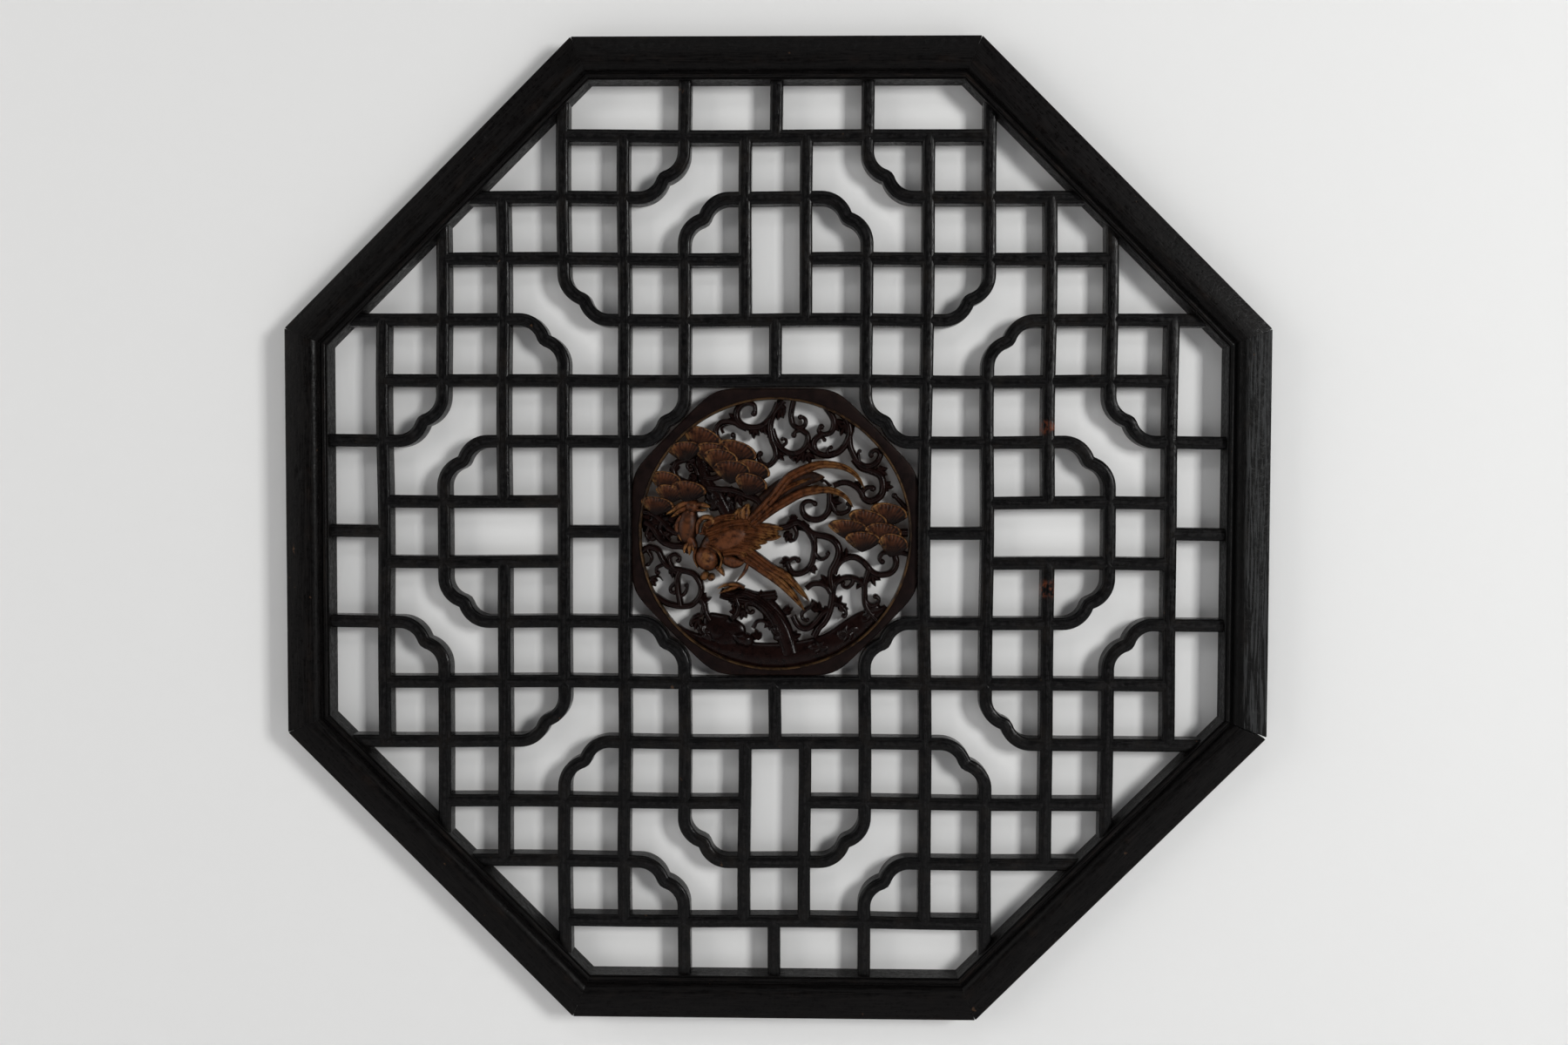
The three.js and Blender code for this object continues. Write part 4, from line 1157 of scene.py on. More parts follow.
# %% Domes: heads, bodies, rocks and pine scales
def dome(middle, reach, height, low=CARVING_BACK, spokes=40, rings=9, gilt=None, tone=None):
    """A closed swelling: reach(turn) is its outline on the drawing and height(share, turn) its front."""
    around = np.linspace(0, 2 * math.pi, spokes, endpoint=False)
    shares = 1 - np.linspace(0, 1, rings, endpoint=False)
    radius = np.broadcast_to(reach(around), around.shape) * UNIT
    centre_place = drawn([middle])[0]
    back = cut_back()
    rows = [[(centre_place[0], -back, PANEL_MIDDLE + centre_place[1])] * spokes]
    fronts = [(1.0, np.full(spokes, back))] + [(s, low + height(s, around)) for s in shares]
    fronts.append((0.002, low + height(0.0, around).mean() * np.ones(spokes)))
    gilts = [np.zeros(spokes), np.zeros(spokes)]
    for share, front in fronts:
        x = centre_place[0] + share * radius * np.cos(around)
        z = PANEL_MIDDLE + centre_place[1] + share * radius * np.sin(around)
        rows.append(np.stack([x, -front, z], axis=1).tolist())
    for share in (*shares, 0.002):
        gilts.append(np.broadcast_to(gilt(share, around) if gilt else 0.0, around.shape))
    rows = np.array(rows)
    # Painted light and shade: the colour value rises with how far each point stands out, so the top is
    # painted light and the foot painted shade.
    light = np.clip(0.35 + 0.75 * (-rows[..., 1] - low) / (BIRD_FRONT - low), 0, 1)
    for row, share in enumerate((*shares, 0.002), 2):
        if tone:
            light[row] = tone(share, around)
    return rows, {"gilt": np.array(gilts), "v": light}


def join_meshes(name, meshes):
    joined = bmesh.new()
    for mesh in meshes:
        joined.from_mesh(mesh)
    result = bpy.data.meshes.new(name)
    joined.to_mesh(result)
    joined.free()
    return result


def dome_mesh(*args, **settings):
    rows, marks = dome(*args, **settings)
    return skin("dome", rows, marks=marks)


def ellipse(long_half, short_half, tilt=0.0):
    lean = math.radians(tilt)
    return lambda turn: long_half * short_half / np.sqrt(
        (short_half * np.cos(turn - lean)) ** 2 + (long_half * np.sin(turn - lean)) ** 2)


def rounded(rise, power=0.5):
    def height(share, turn):
        return rise * np.clip(1 - share ** 2.2, 0.0, 1) ** power * np.ones_like(turn) + 0.35 * rise

    return height


# %% [markdown]
# ## The scrolls
#
# The vines are listed by where they grow. They fill the ring between the birds and the boughs,
# and every one starts on the ring, the ground or another stem, so nothing floats. Stems are
# about five to six millimetres wide.

# %% The upper vines
upper_vines = [
    vine([(864.5, 474.5), (868, 474), (869.5, 470), (868, 464.5), (862, 462), (854.5, 464), (849, 470),
          (848, 477.5), (850, 482.5), (854, 487), (861, 490), (868.5, 490.5), (876, 489), (882, 485),
          (887.5, 478.5), (892, 472), (902, 459)], 6.6, start="knob", end="root"),
    vine([(860, 492), (853, 489), (846, 485), (838.5, 483.5), (831, 484.5), (826, 489), (824, 495.5),
          (826, 502), (830, 506.5), (836, 508), (842, 507), (845, 503), (844, 499), (841, 498)], 5.6),
    vine([(833, 497), (831, 492), (835, 488.5), (842, 488)], 3, end="point"),
    vine([(896, 462), (889.5, 477.5), (887, 487), (887.5, 498), (889.5, 506), (893, 514.5), (894, 523),
          (890, 530), (884.5, 534), (878, 532), (874, 526), (875, 521), (879, 519.5)], 6.4),
    vine([(889, 492), (892, 502), (896.5, 510.5), (903, 517), (912.5, 520.5), (922, 518), (928, 511.5),
          (930.5, 503), (928.5, 496), (923, 493.5), (917, 494.5), (914.3, 498.5), (916, 502)], 6.2),
    vine([(897, 514), (905, 508.5), (905, 504.5), (901.7, 503), (899.5, 505.5)], 4.4),
    vine([(914, 458), (912, 469), (911, 476), (912, 484), (915.5, 489), (921, 490.7), (926.5, 488),
          (928, 482.7), (925.7, 479), (921.7, 478.3), (920, 481)], 5.6),
    vine([(919, 491), (925, 494), (929, 497)], 6, start="root", end="root"),
    vine([(950, 465), (959, 478.5), (960.4, 487), (957.7, 494.5), (952.4, 497.7), (946.5, 497.7),
          (943, 494), (944.7, 489.7), (949.5, 488.7)], 6.4),
    vine([(929, 507), (934, 513), (943, 520), (954, 522), (964, 519), (972, 512), (977, 503), (979, 494),
          (976, 482), (968, 473)], 6.6, end="root"),
    vine([(948, 497), (942, 501), (938, 506), (937.5, 513), (941, 519)], 6.4, end="root"),
    vine([(941, 502), (947, 502), (951.3, 506.5)], 4.6),
    vine([(953, 521), (953, 516), (956, 513), (959.5, 514)], 4.6),
    vine([(978, 496), (979, 510.5), (983, 521), (988, 529.5), (995.5, 534.5), (1004, 534), (1010.5, 529.5),
          (1013.7, 523), (1012.7, 518), (1008.4, 516), (1004, 518), (1003.5, 521.7), (1006.3, 523)], 6.2),
    vine([(990, 530), (988.7, 523), (989.2, 518), (992.5, 516)], 4.4),
    vine([(983, 526), (992, 536), (1003, 540), (1011.6, 543.5), (1016, 549), (1017.5, 557.5), (1016, 566),
          (1010.5, 572), (1003, 575), (996.7, 573), (993, 567), (994.5, 562), (1000, 559), (1005, 560),
          (1006.3, 564)], 7),
    vine([(994, 568), (987, 559), (977.5, 554), (969, 553.7), (960, 557)], 5.8, end="root"),
    vine([(957, 558), (953, 554), (949.7, 551.4), (944.4, 552)], 4.2),
    vine([(956, 562), (956, 572), (955.8, 580), (954, 587), (948.7, 593.5), (941, 596.5), (932.7, 595.3),
          (926.8, 591), (924, 584.6), (924.7, 579), (929, 575.5), (935, 575.5), (938.5, 578.2), (937, 581)],
         6.2),
    vine([(957, 576), (962, 586), (967, 589), (973.5, 588), (978.5, 584), (978.5, 579), (974.3, 576.6)], 5.4),
    vine([(1046, 585), (1036, 574), (1028, 566)], 6, start="root", end="knob"),
]

# %% The lower vines
lower_vines = [
    vine([(898, 606), (908, 604), (919, 600), (929, 607), (937, 613), (949.5, 615.3), (958.3, 618.5),
          (964.7, 625), (966.8, 632), (965.7, 639.7), (962.5, 647), (958.5, 654.7), (957.3, 663),
          (958.3, 671.7), (959.3, 680), (959.3, 687), (958.3, 694), (956, 702.7), (953, 710),
          (948.7, 716.5), (943.3, 722), (938, 732)], 6.8, end="root"),
    vine([(938, 612), (938.5, 622), (938, 632), (941, 638.7), (946.5, 642), (952, 639.7), (954, 635.5),
          (952.4, 632.5)], 5.4),
    vine([(930, 608), (936.5, 619), (938.5, 629), (937.5, 637.6), (936, 645), (932.7, 651.5),
          (927.3, 656.3), (920, 659), (913.5, 658), (909.2, 652.5), (908, 647), (911, 643), (916, 641),
          (919.5, 643), (918, 646.5)], 6.2),
    vine([(915, 604), (918, 612), (915, 620), (908, 621)], 5),
    vine([(961, 659), (964.7, 649.5), (971, 643), (978.5, 640), (986, 640), (993.5, 644), (999, 649.5),
          (1003, 654.7), (1009.5, 659), (1017, 660), (1025.5, 658), (1031, 652.5), (1033, 645),
          (1031, 637.6), (1025.5, 634), (1019, 634), (1014.8, 637.6), (1013.7, 641.9), (1016.5, 644.7),
          (1020, 644)], 6.2),
    vine([(1030, 640), (1036, 634), (1046, 636)], 5, start="root", end="root"),
    vine([(1001, 655), (997.3, 667.5), (996.7, 676), (996.7, 684.5), (997.7, 691), (1002, 694.7),
          (1007.3, 695.2), (1012, 692), (1012.7, 687.2), (1009.5, 685), (1006.5, 687)], 5.8),
    vine([(996.5, 682), (997.5, 694), (1003, 704), (1014, 716)], 6, end="root"),
    vine([(960, 682), (961, 675), (963.6, 669.6), (969, 665.3), (975.3, 663), (982.8, 663.5),
          (989.2, 666.4), (996, 672)], 5.8, start="root", end="root"),
    vine([(984, 664), (981.7, 670.7), (976.4, 675), (971.6, 673.3), (971, 670), (974.3, 669)], 4.8),
    vine([(957.5, 681), (954, 675), (948.7, 671.2), (942.3, 670), (935, 671.2), (929, 676)], 5.8,
         start="root", end="root"),
    vine([(956, 700), (949, 704), (943, 711), (937, 718), (930, 722.5), (923, 721), (918, 716), (914, 708)],
         6, end="root"),
    vine([(939, 690), (935, 696), (928.5, 700.5), (924.5, 705), (924.5, 710), (928.5, 712.5), (933, 712)], 5),
    vine([(959, 692), (965, 693), (971, 697.3), (975, 702.7), (974.3, 707), (969.5, 708)], 5.4),
    vine([(735, 637), (744.6, 629.8), (751, 629.6), (757.4, 632.8), (760.6, 638.7), (763.8, 645),
          (768, 650.4), (775.5, 654), (784, 655.7), (792.6, 657.3), (799, 660), (804.3, 666.4),
          (807.5, 675), (806.5, 683.5), (802, 691), (794.7, 696.3), (785, 697.5), (775.5, 696.3),
          (767, 693.6), (759.5, 689), (750, 683)], 6, start="root", end="root"),
    vine([(783, 656), (780, 663), (779.8, 672), (781, 682), (784, 697)], 6, end="root"),
    vine([(780.3, 667.5), (775.5, 672), (771.8, 676), (772.3, 680.5), (776, 682), (778, 679)], 4.6),
    vine([(781, 686), (787.3, 683.5), (790.5, 678), (791, 674), (788, 671.5)], 4.6),
    vine([(766, 648), (761, 650), (756, 653), (755.5, 658), (760, 659)], 5),
    vine([(742, 675), (750, 665), (758, 663), (763, 668)], 6, start="root", end="point"),
    vine([(776, 654), (771, 646), (771, 640), (777, 637), (782.5, 641), (782, 644.5), (778, 644)], 4.8),
    vine([(745, 632), (750, 641), (747, 648), (743, 650)], 4.4),
    vine([(806, 688), (811, 695), (813, 704), (818, 713)], 6, start="root", end="root"),
    vine([(811, 697), (808.5, 706), (803, 708), (798, 711), (795.5, 717), (799, 720.5)], 5.4),
    vine([(742, 600), (750, 606), (757, 616), (764, 623), (774, 627), (786, 628), (794, 634)], 6.4,
         start="root", end="root"),
    vine([(740, 588), (750, 590), (760, 597), (768, 606), (778, 612), (786, 612)], 6, start="root",
         end="root"),
    vine([(748, 604), (744, 614), (749, 620), (755, 617)], 5.4),
    vine([(762, 600), (760, 609), (766, 615), (772, 612)], 5),
    vine([(866, 690), (860, 694), (860, 701), (865, 705), (869, 701)], 5),
    vine([(868, 722), (872, 715), (880, 714), (885, 719)], 4.8, start="root"),
    vine([(848, 688), (851, 697), (849, 706), (843, 712)], 5.6, start="root", end="root"),
    vine([(815, 560), (828, 562), (842, 563), (858, 568), (873, 575), (884, 592)], 7, start="root",
         end="root"),
    vine([(804, 545), (800, 535), (795, 531), (791.5, 534.5), (794.5, 539.5), (798.5, 537)], 5.4),
    vine([(800, 556), (788, 553), (779, 548), (775.5, 540), (778, 532), (787, 528), (800, 528)], 6,
         start="root", end="root"),
    vine([(810, 548), (820, 549), (830, 546), (842, 540)], 6, start="root", end="root"),
    vine([(846, 540), (856, 548), (866, 552)], 6, start="root", end="root"),
    vine([(1046, 611), (1026, 612), (1000, 611), (978, 607)], 8, start="root", end="root"),
]
print("vines:", len(upper_vines) + len(lower_vines))

# %% [markdown]
# Where the stems turn or part, a tuft of three short spiky leaves breaks out. Each tuft is three
# blades that fan out from one root, given by its place, its bearing (0 points right, 90 up) and
# its length.

# %% Tufts of leaves on the stems
tufts = [
    ((847, 485), 125, 14), ((870, 491), 262, 13), ((880, 488), 290, 12), ((896, 518), 305, 13),
    ((926, 519), 235, 16), ((931, 519), 285, 14), ((900, 470), 250, 13), ((963, 482), 320, 17),
    ((975, 488), 240, 14), ((1012, 536), 320, 14), ((957, 574), 350, 14), ((918, 596), 200, 13),
    ((972, 643), 78, 15), ((1006, 658), 282, 16), ((936, 650), 290, 10), ((952, 672), 118, 14),
    ((909, 645), 190, 12), ((961, 669), 55, 12), ((998, 667), 222, 15), ((961, 694), 45, 14),
    ((968, 696), 340, 11), ((955, 706), 155, 14), ((941, 703), 112, 16), ((805, 690), 12, 15),
    ((749, 664), 300, 12), ((781, 534), 212, 13), ((751, 600), 35, 13), ((757, 615), 70, 12),
    ((768, 606), 150, 11), ((849, 707), 122, 13), ((805, 712), 250, 14), ((1001, 696), 325, 15),
    ((840, 570), 80, 13), ((852, 567), 280, 15), ((776, 654), 262, 11), ((890, 500), 160, 9),
    ((1017, 556), 350, 13), ((910, 612), 250, 12), ((986, 558), 60, 9), ((783, 622), 80, 11),
    ((872, 735), 100, 12), ((858, 702), 250, 12), ((914, 520), 275, 10), ((903, 702), 18, 12),
    ((891, 717), 205, 12), ((880, 694), 262, 11), ((846, 689), 268, 9), ((912, 732), 14, 12),
    ((889, 688), 62, 10), ((745, 596), 122, 13), ((757, 590), 66, 12), ((770, 597), 24, 12),
    ((750, 612), 248, 12), ((766, 611), 300, 12), ((800, 522), 165, 11), ((802, 548), 200, 12),
    ((816, 536), 12, 12), ((838, 590), 30, 12),
]
LEAF_SPREAD = 36
LEAF_WIDTH = 7.2


def tuft(middle, bearing, length):
    root = np.array(middle, float)
    leaves = []
    for spread, share in ((-LEAF_SPREAD, 0.78), (0, 1.0), (LEAF_SPREAD, 0.78)):
        turn = math.radians(bearing + spread)
        tip = root + length * share * np.array([math.cos(turn), -math.sin(turn)])
        bend = (root + tip) / 2 + 0.1 * length * np.array([math.sin(turn), math.cos(turn)])
        leaves.append(blade([root, bend, tip], LEAF_WIDTH, VINE_FRONT - 1.2 * MM, root=0.7, full=0.3))
    return leaves


leaves = [leaf for place in tufts for leaf in tuft(*place)]
vine_mesh = join_meshes("fine_roundel_scrolls", [
    sweep("vines", upper_vines + lower_vines, vine_wood, 9, 0.45),
    sweep("leaves", leaves, vine_wood, 5, 0.4)])
finish_piece("fine_roundel_scrolls", vine_mesh, vine_wood, "roundel", CARVING_SHARP)
print("scrolls:", len(vine_mesh.polygons), "faces,", len(leaves), "leaves")

# %% [markdown]
# ## Pine boughs
#
# Pine needles are carved in the old manner, as overlapping fans. Each fan has an arched top, two
# pointed corners and a root below, needles that spread from the root, and a thin raised lip
# where the gilding has stayed. Lower fans lie over upper ones, so each row stands a little
# prouder than the one above, and each fan leans forward at its lip.

# %% Fans of needles, as (middle, half width, height, tilt, lift in millimetres)
FAN_FRONT = 9.4 * MM
NEEDLES = 19
FAN_FULLNESS = 1.14
pine_fans = [
    ((809, 504), 20, 27, -22, 0.0), ((848, 519), 21, 27, -18, 0.1), ((820, 519), 19, 23, -6, 0.6),
    ((789, 517), 17, 21, 4, 1.3), ((830, 527), 18, 24, -10, 1.2), ((867, 540), 18, 24, -18, 0.8),
    ((843, 540), 19, 24, -6, 1.6), ((865, 555), 17, 23, -18, 1.9), ((767, 552), 16, 22, -12, 0.2),
    ((772, 566), 15, 19, -12, 0.9), ((793, 563), 18, 22, -10, 1.5), ((757, 580), 17, 19, -10, 1.4),
    ((1024, 589), 19, 24, -12, 0.2), ((1000, 597), 20, 24, -14, 0.8), ((977, 606), 20, 20, -6, 1.4),
    ((1017, 611), 19, 23, -6, 1.5), ((994, 620), 18, 21, -4, 2.2), ((1029, 624), 15, 24, -14, 2.1),
]


def pine_fan(middle, half_width, height, tilt, lift):
    half_width, height = FAN_FULLNESS * half_width, FAN_FULLNESS * height
    lean = math.radians(tilt)
    over = 0.43 * height
    under = 0.57 * height

    def reach(turn):
        side, up = np.cos(turn - lean), np.sin(turn - lean)
        arch = (np.abs(side / half_width) ** 2.3 + np.abs(up / over) ** 2.3) ** (-1 / 2.3)
        wedge = (np.abs(side / half_width) ** 1.2 + np.abs(up / under) ** 1.2) ** (-1 / 1.2)
        return np.where(up > 0, arch, wedge)

    def needles(share, turn):
        x = share * reach(turn) * np.cos(turn - lean)
        z = share * reach(turn) * np.sin(turn - lean)
        return np.cos(2 * NEEDLES * np.arctan2(x, z + under + 2)) * np.clip(1.4 * share - 0.2, 0, 1)

    # Painted light and shade on each fan: lighter towards its top and its left, on the needle ridges and on
    # the lip, and painted shade just under the lip and towards the root.
    def tone(share, turn):
        up = share * reach(turn) * np.sin(turn - lean) / height
        lip = 0.45 * np.exp(-((share - 0.95) / 0.04) ** 2) * (np.sin(turn - lean) > -0.05)
        below_lip = 0.4 * np.exp(-((share - 0.84) / 0.05) ** 2)
        to_left = -0.16 * share * np.cos(turn)
        return np.clip(0.55 + 0.8 * up + to_left + 0.22 * needles(share, turn) + lip - below_lip, 0, 1)

    def front(share, turn):
        z = share * reach(turn) * np.sin(turn - lean)
        ridges = 0.26 * MM * needles(share, turn)
        upper = np.clip(np.sin(turn - lean) * 3, 0, 1)
        lip = 0.5 * MM * np.exp(-((share - 0.94) / 0.045) ** 2) * upper
        swell = 1.0 * MM * (1 - share ** 2)
        leaning = 1.5 * MM * z / height
        return FAN_FRONT + lift * MM + ridges + lip + swell + leaning - 1.0 * MM * (share > 0.99)

    def gilt(share, turn):
        lip = np.exp(-((share - 0.95) / 0.05) ** 2) * (np.sin(turn - lean) > -0.05)
        corner = 0.9 * np.clip(1.5 * (-share * np.cos(turn - lean) - 0.45), 0, 1) ** 1.3
        return np.clip(lip + corner, 0, 1)

    return dome_mesh(middle, reach, front, spokes=120, rings=17, gilt=gilt, tone=tone)


bough_mesh = join_meshes("fine_roundel_pine", [pine_fan(*fan) for fan in pine_fans])
finish_piece("fine_roundel_pine", bough_mesh, pine_wood, "roundel", FAN_SHARP)
print("pine boughs:", len(pine_fans), "fans,", len(bough_mesh.polygons), "faces")

# %% [markdown]
# ## The ground
#
# The birds stand over a bank of earth that follows the foot of the ring, with a smooth boulder
# on the left and a rough stump in the middle. They are the darkest and glossiest carving.

# %% The bank: how wide it is at each bearing, measured down from the right
BANK_BEARINGS = (33, 38, 44, 52, 65, 75, 85, 95, 104, 112, 122, 131, 137)
BANK_WIDTHS = (4, 16, 26, 29, 28, 30, 31, 30, 28, 24, 16, 7, 3)
BANK_POINTS = 130
BANK_SMOOTHING = 5


def bank(front):
    bearings = np.linspace(BANK_BEARINGS[0], BANK_BEARINGS[-1], BANK_POINTS)
    width = np.interp(bearings, BANK_BEARINGS, BANK_WIDTHS)
    window = 2 * BANK_SMOOTHING + 1
    width = np.convolve(np.pad(width, BANK_SMOOTHING, mode="edge"), np.ones(window) / window, mode="valid")
    radius = DRAWING_RADIUS + 1 - width / 2
    turn = np.radians(bearings)
    places = DRAWING_MIDDLE + np.stack([radius * np.cos(turn), radius * np.sin(turn)], axis=1)
    wave = 0.5 * MM * np.sin(bearings / 4.3) + 0.3 * MM * np.sin(bearings / 1.9)
    return stroke(drawn(places), width * UNIT / 2, CARVING_BACK, CARVING_BACK + front + wave)


# %% Boulder, stump and ledge
def lumpy(radius_x, radius_z, tilt, bumps, phase):
    base = ellipse(radius_x, radius_z, tilt)

    def reach(turn):
        return base(turn) * (1 + 0.07 * np.sin(bumps * turn + phase) + 0.03 * np.sin(2 * bumps * turn))

    return reach


def folded(rise, folds, phase):
    """A dome with soft folds running over it."""
    def height(share, turn):
        body = rise * (0.45 + 0.55 * np.clip(1 - share ** 2, 0, 1) ** 0.5)
        fold = 0.7 * MM * np.sin(folds * turn + phase + 5 * share)
        return body + fold * np.clip(share * (1.2 - share) * 3, 0, 1)
    return height


def low_boulder(rise, folds, phase):
    """Steep sides, a nearly flat top and a few soft hollows."""
    def height(share, turn):
        body = rise * (0.58 + 0.42 * np.clip(1 - share ** 3.4, 0, 1) ** 0.6)
        hollow = np.clip(np.sin(folds * turn + phase + 4 * share) * share, 0, 1)
        return body - 1.2 * MM * hollow ** 2
    return height


def bark(places, width, front, ridges):
    """A rough limb: one broad stroke with narrow ridges laid side by side along it."""
    run = np.array(places, float)
    step = run[-1] - run[0]
    aside = np.array([-step[1], step[0]]) / np.linalg.norm(step)
    limb = [vine(places, width, start="root", end="root", front=CARVING_BACK + front)]
    for i in range(ridges):
        offset = (i - (ridges - 1) / 2) * 0.82 * width / ridges
        line = run + aside * offset + aside * 1.2 * np.sin(np.arange(len(run)) * 1.7 + i)[:, None]
        limb.append(blade(line, 0.9 * width / ridges, CARVING_BACK + front
                          + (0.9 - 0.04 * offset ** 2 / ridges) * MM, root=0.6, full=0.5))
    return limb


ledge = bark([(830, 682), (842, 685), (856, 682), (872, 686), (894, 684)], 10, 10.2 * MM, 3)
stump = bark([(870, 686), (884, 697), (896, 712), (905, 731), (911, 752)], 17, 10.6 * MM, 4)
footing = bark([(840, 688), (856, 691), (872, 694), (888, 704)], 8, 8.8 * MM, 2)
trunk = bark([(809, 508), (806, 524), (808, 540), (814, 556), (825, 568), (832, 580), (842, 600)], 12,
             8.6 * MM, 3)
ground_meshes = [
    sweep("bank", [bank(8.2 * MM)], vine_wood, 14, 0.6),
    dome_mesh((834, 727), lumpy(27, 20, -32, 3, 0.6), low_boulder(8.6 * MM, 3, 0.9), spokes=96, rings=18),
    dome_mesh((757, 601), lumpy(21, 12, 8, 7, 0.3), folded(7.4 * MM, 7, 0.5), spokes=72, rings=10),
    dome_mesh((886, 706), lumpy(8, 12, 30, 5, 0.7), folded(8.0 * MM, 5, 0.5), spokes=56, rings=9),
    dome_mesh((812, 728), lumpy(8, 15, 30, 5, 1.6), folded(9.2 * MM, 5, 1.3), spokes=60, rings=10),
    dome_mesh((899, 727), lumpy(10, 14, 28, 5, 0.2), folded(10.4 * MM, 5, 0.9), spokes=64, rings=11),
    dome_mesh((944, 744), lumpy(20, 9, 10, 4, 0.9), folded(9.0 * MM, 4, 0.3), spokes=72, rings=11),
    dome_mesh((976, 728), lumpy(18, 10, 34, 5, 0.2), folded(9.6 * MM, 5, 1.1), spokes=72, rings=11),
    dome_mesh((1003, 705), lumpy(16, 9, 48, 4, 0.5), folded(9.0 * MM, 4, 0.6), spokes=64, rings=10),
    dome_mesh((856, 735), lumpy(15, 9, -20, 5, 0.2), rounded(8.6 * MM), spokes=40, rings=9),
    dome_mesh((822, 574), lumpy(11, 14, 24, 6, 0.3), folded(8.6 * MM, 6, 0.4), spokes=60, rings=10),
    dome_mesh((840, 578), lumpy(7, 13, 14, 5, 0.9), folded(8.0 * MM, 5, 1.4), spokes=60, rings=10),
    dome_mesh((809, 538), lumpy(9, 24, 3, 7, 0.9), folded(8.2 * MM, 9, 0.8), spokes=72, rings=10),
    dome_mesh((976, 489), lumpy(8, 11, 30, 4, 0.3), folded(8.0 * MM, 5, 0.2), spokes=48, rings=9),
    dome_mesh((899, 468), lumpy(6, 10, 20, 4, 0.8), folded(8.0 * MM, 5, 0.9), spokes=48, rings=9),
    dome_mesh((925, 604), lumpy(9, 6, -30, 5, 0.8), folded(8.4 * MM, 5, 0.9), spokes=48, rings=9),
    sweep("bark", [*footing, *ledge, *stump, *trunk], vine_wood, 8, 0.45),
]
ground_mesh = join_meshes("fine_roundel_ground", ground_meshes)
finish_piece("fine_roundel_ground", ground_mesh, vine_wood, "roundel", CARVING_SHARP)
print("ground:", len(ground_mesh.polygons), "faces")

# %% [markdown]
# ## The bird in front
#
# The long-tailed bird leans down to the left with its wing half open. Its body and head are
# plain swellings. The wing and tail are feathers laid one over the next, from the farthest to
# the nearest, each with the shallow groove of its shaft.

# %% The front bird's feathers
wing_roots = [(820, 607), (822, 611), (824, 615), (826, 620), (828, 625), (830, 630), (833, 635)]
wing_tips = [(903, 607), (898, 612), (891, 617), (884, 623), (877, 629), (869, 634), (861, 638)]
covert_roots = [(814, 611), (816, 616), (818, 621), (821, 627)]
covert_tips = [(868, 598), (866, 606), (862, 614), (856, 622)]
LEAN = np.array([0, -3.0])


def between(first, last):
    first, last = np.array(first, float), np.array(last, float)
    return [first, (first + last) / 2 + LEAN, last]


tail = [
    blade([(862, 604), (884, 579), (904, 561), (935, 548)], 10, CARVING_BACK + 11.8 * MM, root=0.9, full=0.3),
    blade([(864, 598), (878, 584), (892, 568.6), (907.6, 549), (923.6, 540), (942, 533.4), (958, 533),
           (973, 536.3), (984, 543), (991.3, 552), (995.5, 560)], 11.5, CARVING_BACK + 14 * MM, root=0.9,
          full=0.35, gilt_tip=0.5),
    blade([(866, 603), (890, 585), (909, 573.4), (922, 566.5), (938, 562.7), (954, 562), (965.7, 565),
           (975.3, 571.3), (983, 582)], 10.5, CARVING_BACK + 13.2 * MM, root=0.9, full=0.4, gilt_tip=0.5),
    blade([(852, 636), (872, 650), (890, 662), (902, 671.5), (915.6, 686), (927, 701)], 11,
          CARVING_BACK + 12.4 * MM, root=0.9, full=0.45, gilt_tip=0.7),
    blade([(856, 628), (874, 641), (890, 653), (904, 660.5), (917, 673), (932.5, 690)], 10.5,
          CARVING_BACK + 13.4 * MM, root=0.9, full=0.45, gilt_tip=0.6),
]
wing = [
    blade([(810, 614), (813, 604), (826, 597), (842, 592.5), (858, 592)], 9, CARVING_BACK + 11.2 * MM,
          gilt_tip=0.4),
    blade([(814, 616), (819, 606), (832, 599), (852, 597)], 9, CARVING_BACK + 12 * MM, gilt_tip=0.4),
    blade([(860, 600), (858, 589), (862, 578)], 13, CARVING_BACK + 12.6 * MM, full=0.45, gilt_tip=0.9),
    blade([(852, 599), (849, 591), (853, 583)], 8, CARVING_BACK + 11.2 * MM, gilt_tip=0.8),
    blade([(880, 618), (890, 617), (900, 616)], 8, CARVING_BACK + 11.2 * MM, gilt_tip=0.9),
]
wing += [blade(between(a, b), 9.4, CARVING_BACK + (13.0 + 0.3 * i) * MM, root=0.9, full=0.78, gilt_tip=0.3)
         for i, (a, b) in enumerate(zip(wing_roots, wing_tips))]
wing += [blade(between(a, b), 9.5, CARVING_BACK + (15.9 - 0.25 * i) * MM, root=0.9, full=0.7, tip_drop=0.2,
               gilt_tip=0.1) for i, (a, b) in enumerate(zip(covert_roots, covert_tips))]

# %% Its body, head, beak and leg
bird_limbs = [
    blade([(828, 616), (820, 628), (816, 642)], 27, CARVING_BACK + 14.0 * MM, root=0.95, full=0.6,
          gilt_tip=0.01),
    blade([(826, 651), (830, 655), (834.5, 662)], 6.5, CARVING_BACK + 13.6 * MM, root=0.9, full=0.2,
          gilt_tip=0.8),
    blade([(834, 642), (846, 646), (858, 645)], 15, CARVING_BACK + 11.6 * MM, root=0.8, full=0.4,
          gilt_tip=0.2),
    blade([(863, 645), (857, 658), (848, 669)], 4.6, CARVING_BACK + 10.4 * MM, root=0.9, full=0.3,
          gilt_tip=0.5),
    blade([(858, 675), (847, 671.5), (836, 672), (826, 676.5)], 5.4, CARVING_BACK + 12.8 * MM, root=0.7,
          full=0.3, gilt_tip=0.9),
    blade([(852, 673), (840, 677), (828, 682)], 5.2, CARVING_BACK + 12.4 * MM, root=0.7, full=0.3,
          gilt_tip=0.9),
    blade([(813, 625), (825, 631), (831, 640), (830.5, 649), (826, 656)], 3.6, CARVING_BACK + 16 * MM,
          root=0.5, full=0.5, gilt_tip=1.0, tip_drop=0.05),
    blade([(803, 628), (799.5, 640), (804, 653)], 3.6, CARVING_BACK + 12.6 * MM, gilt_tip=0.6),
]
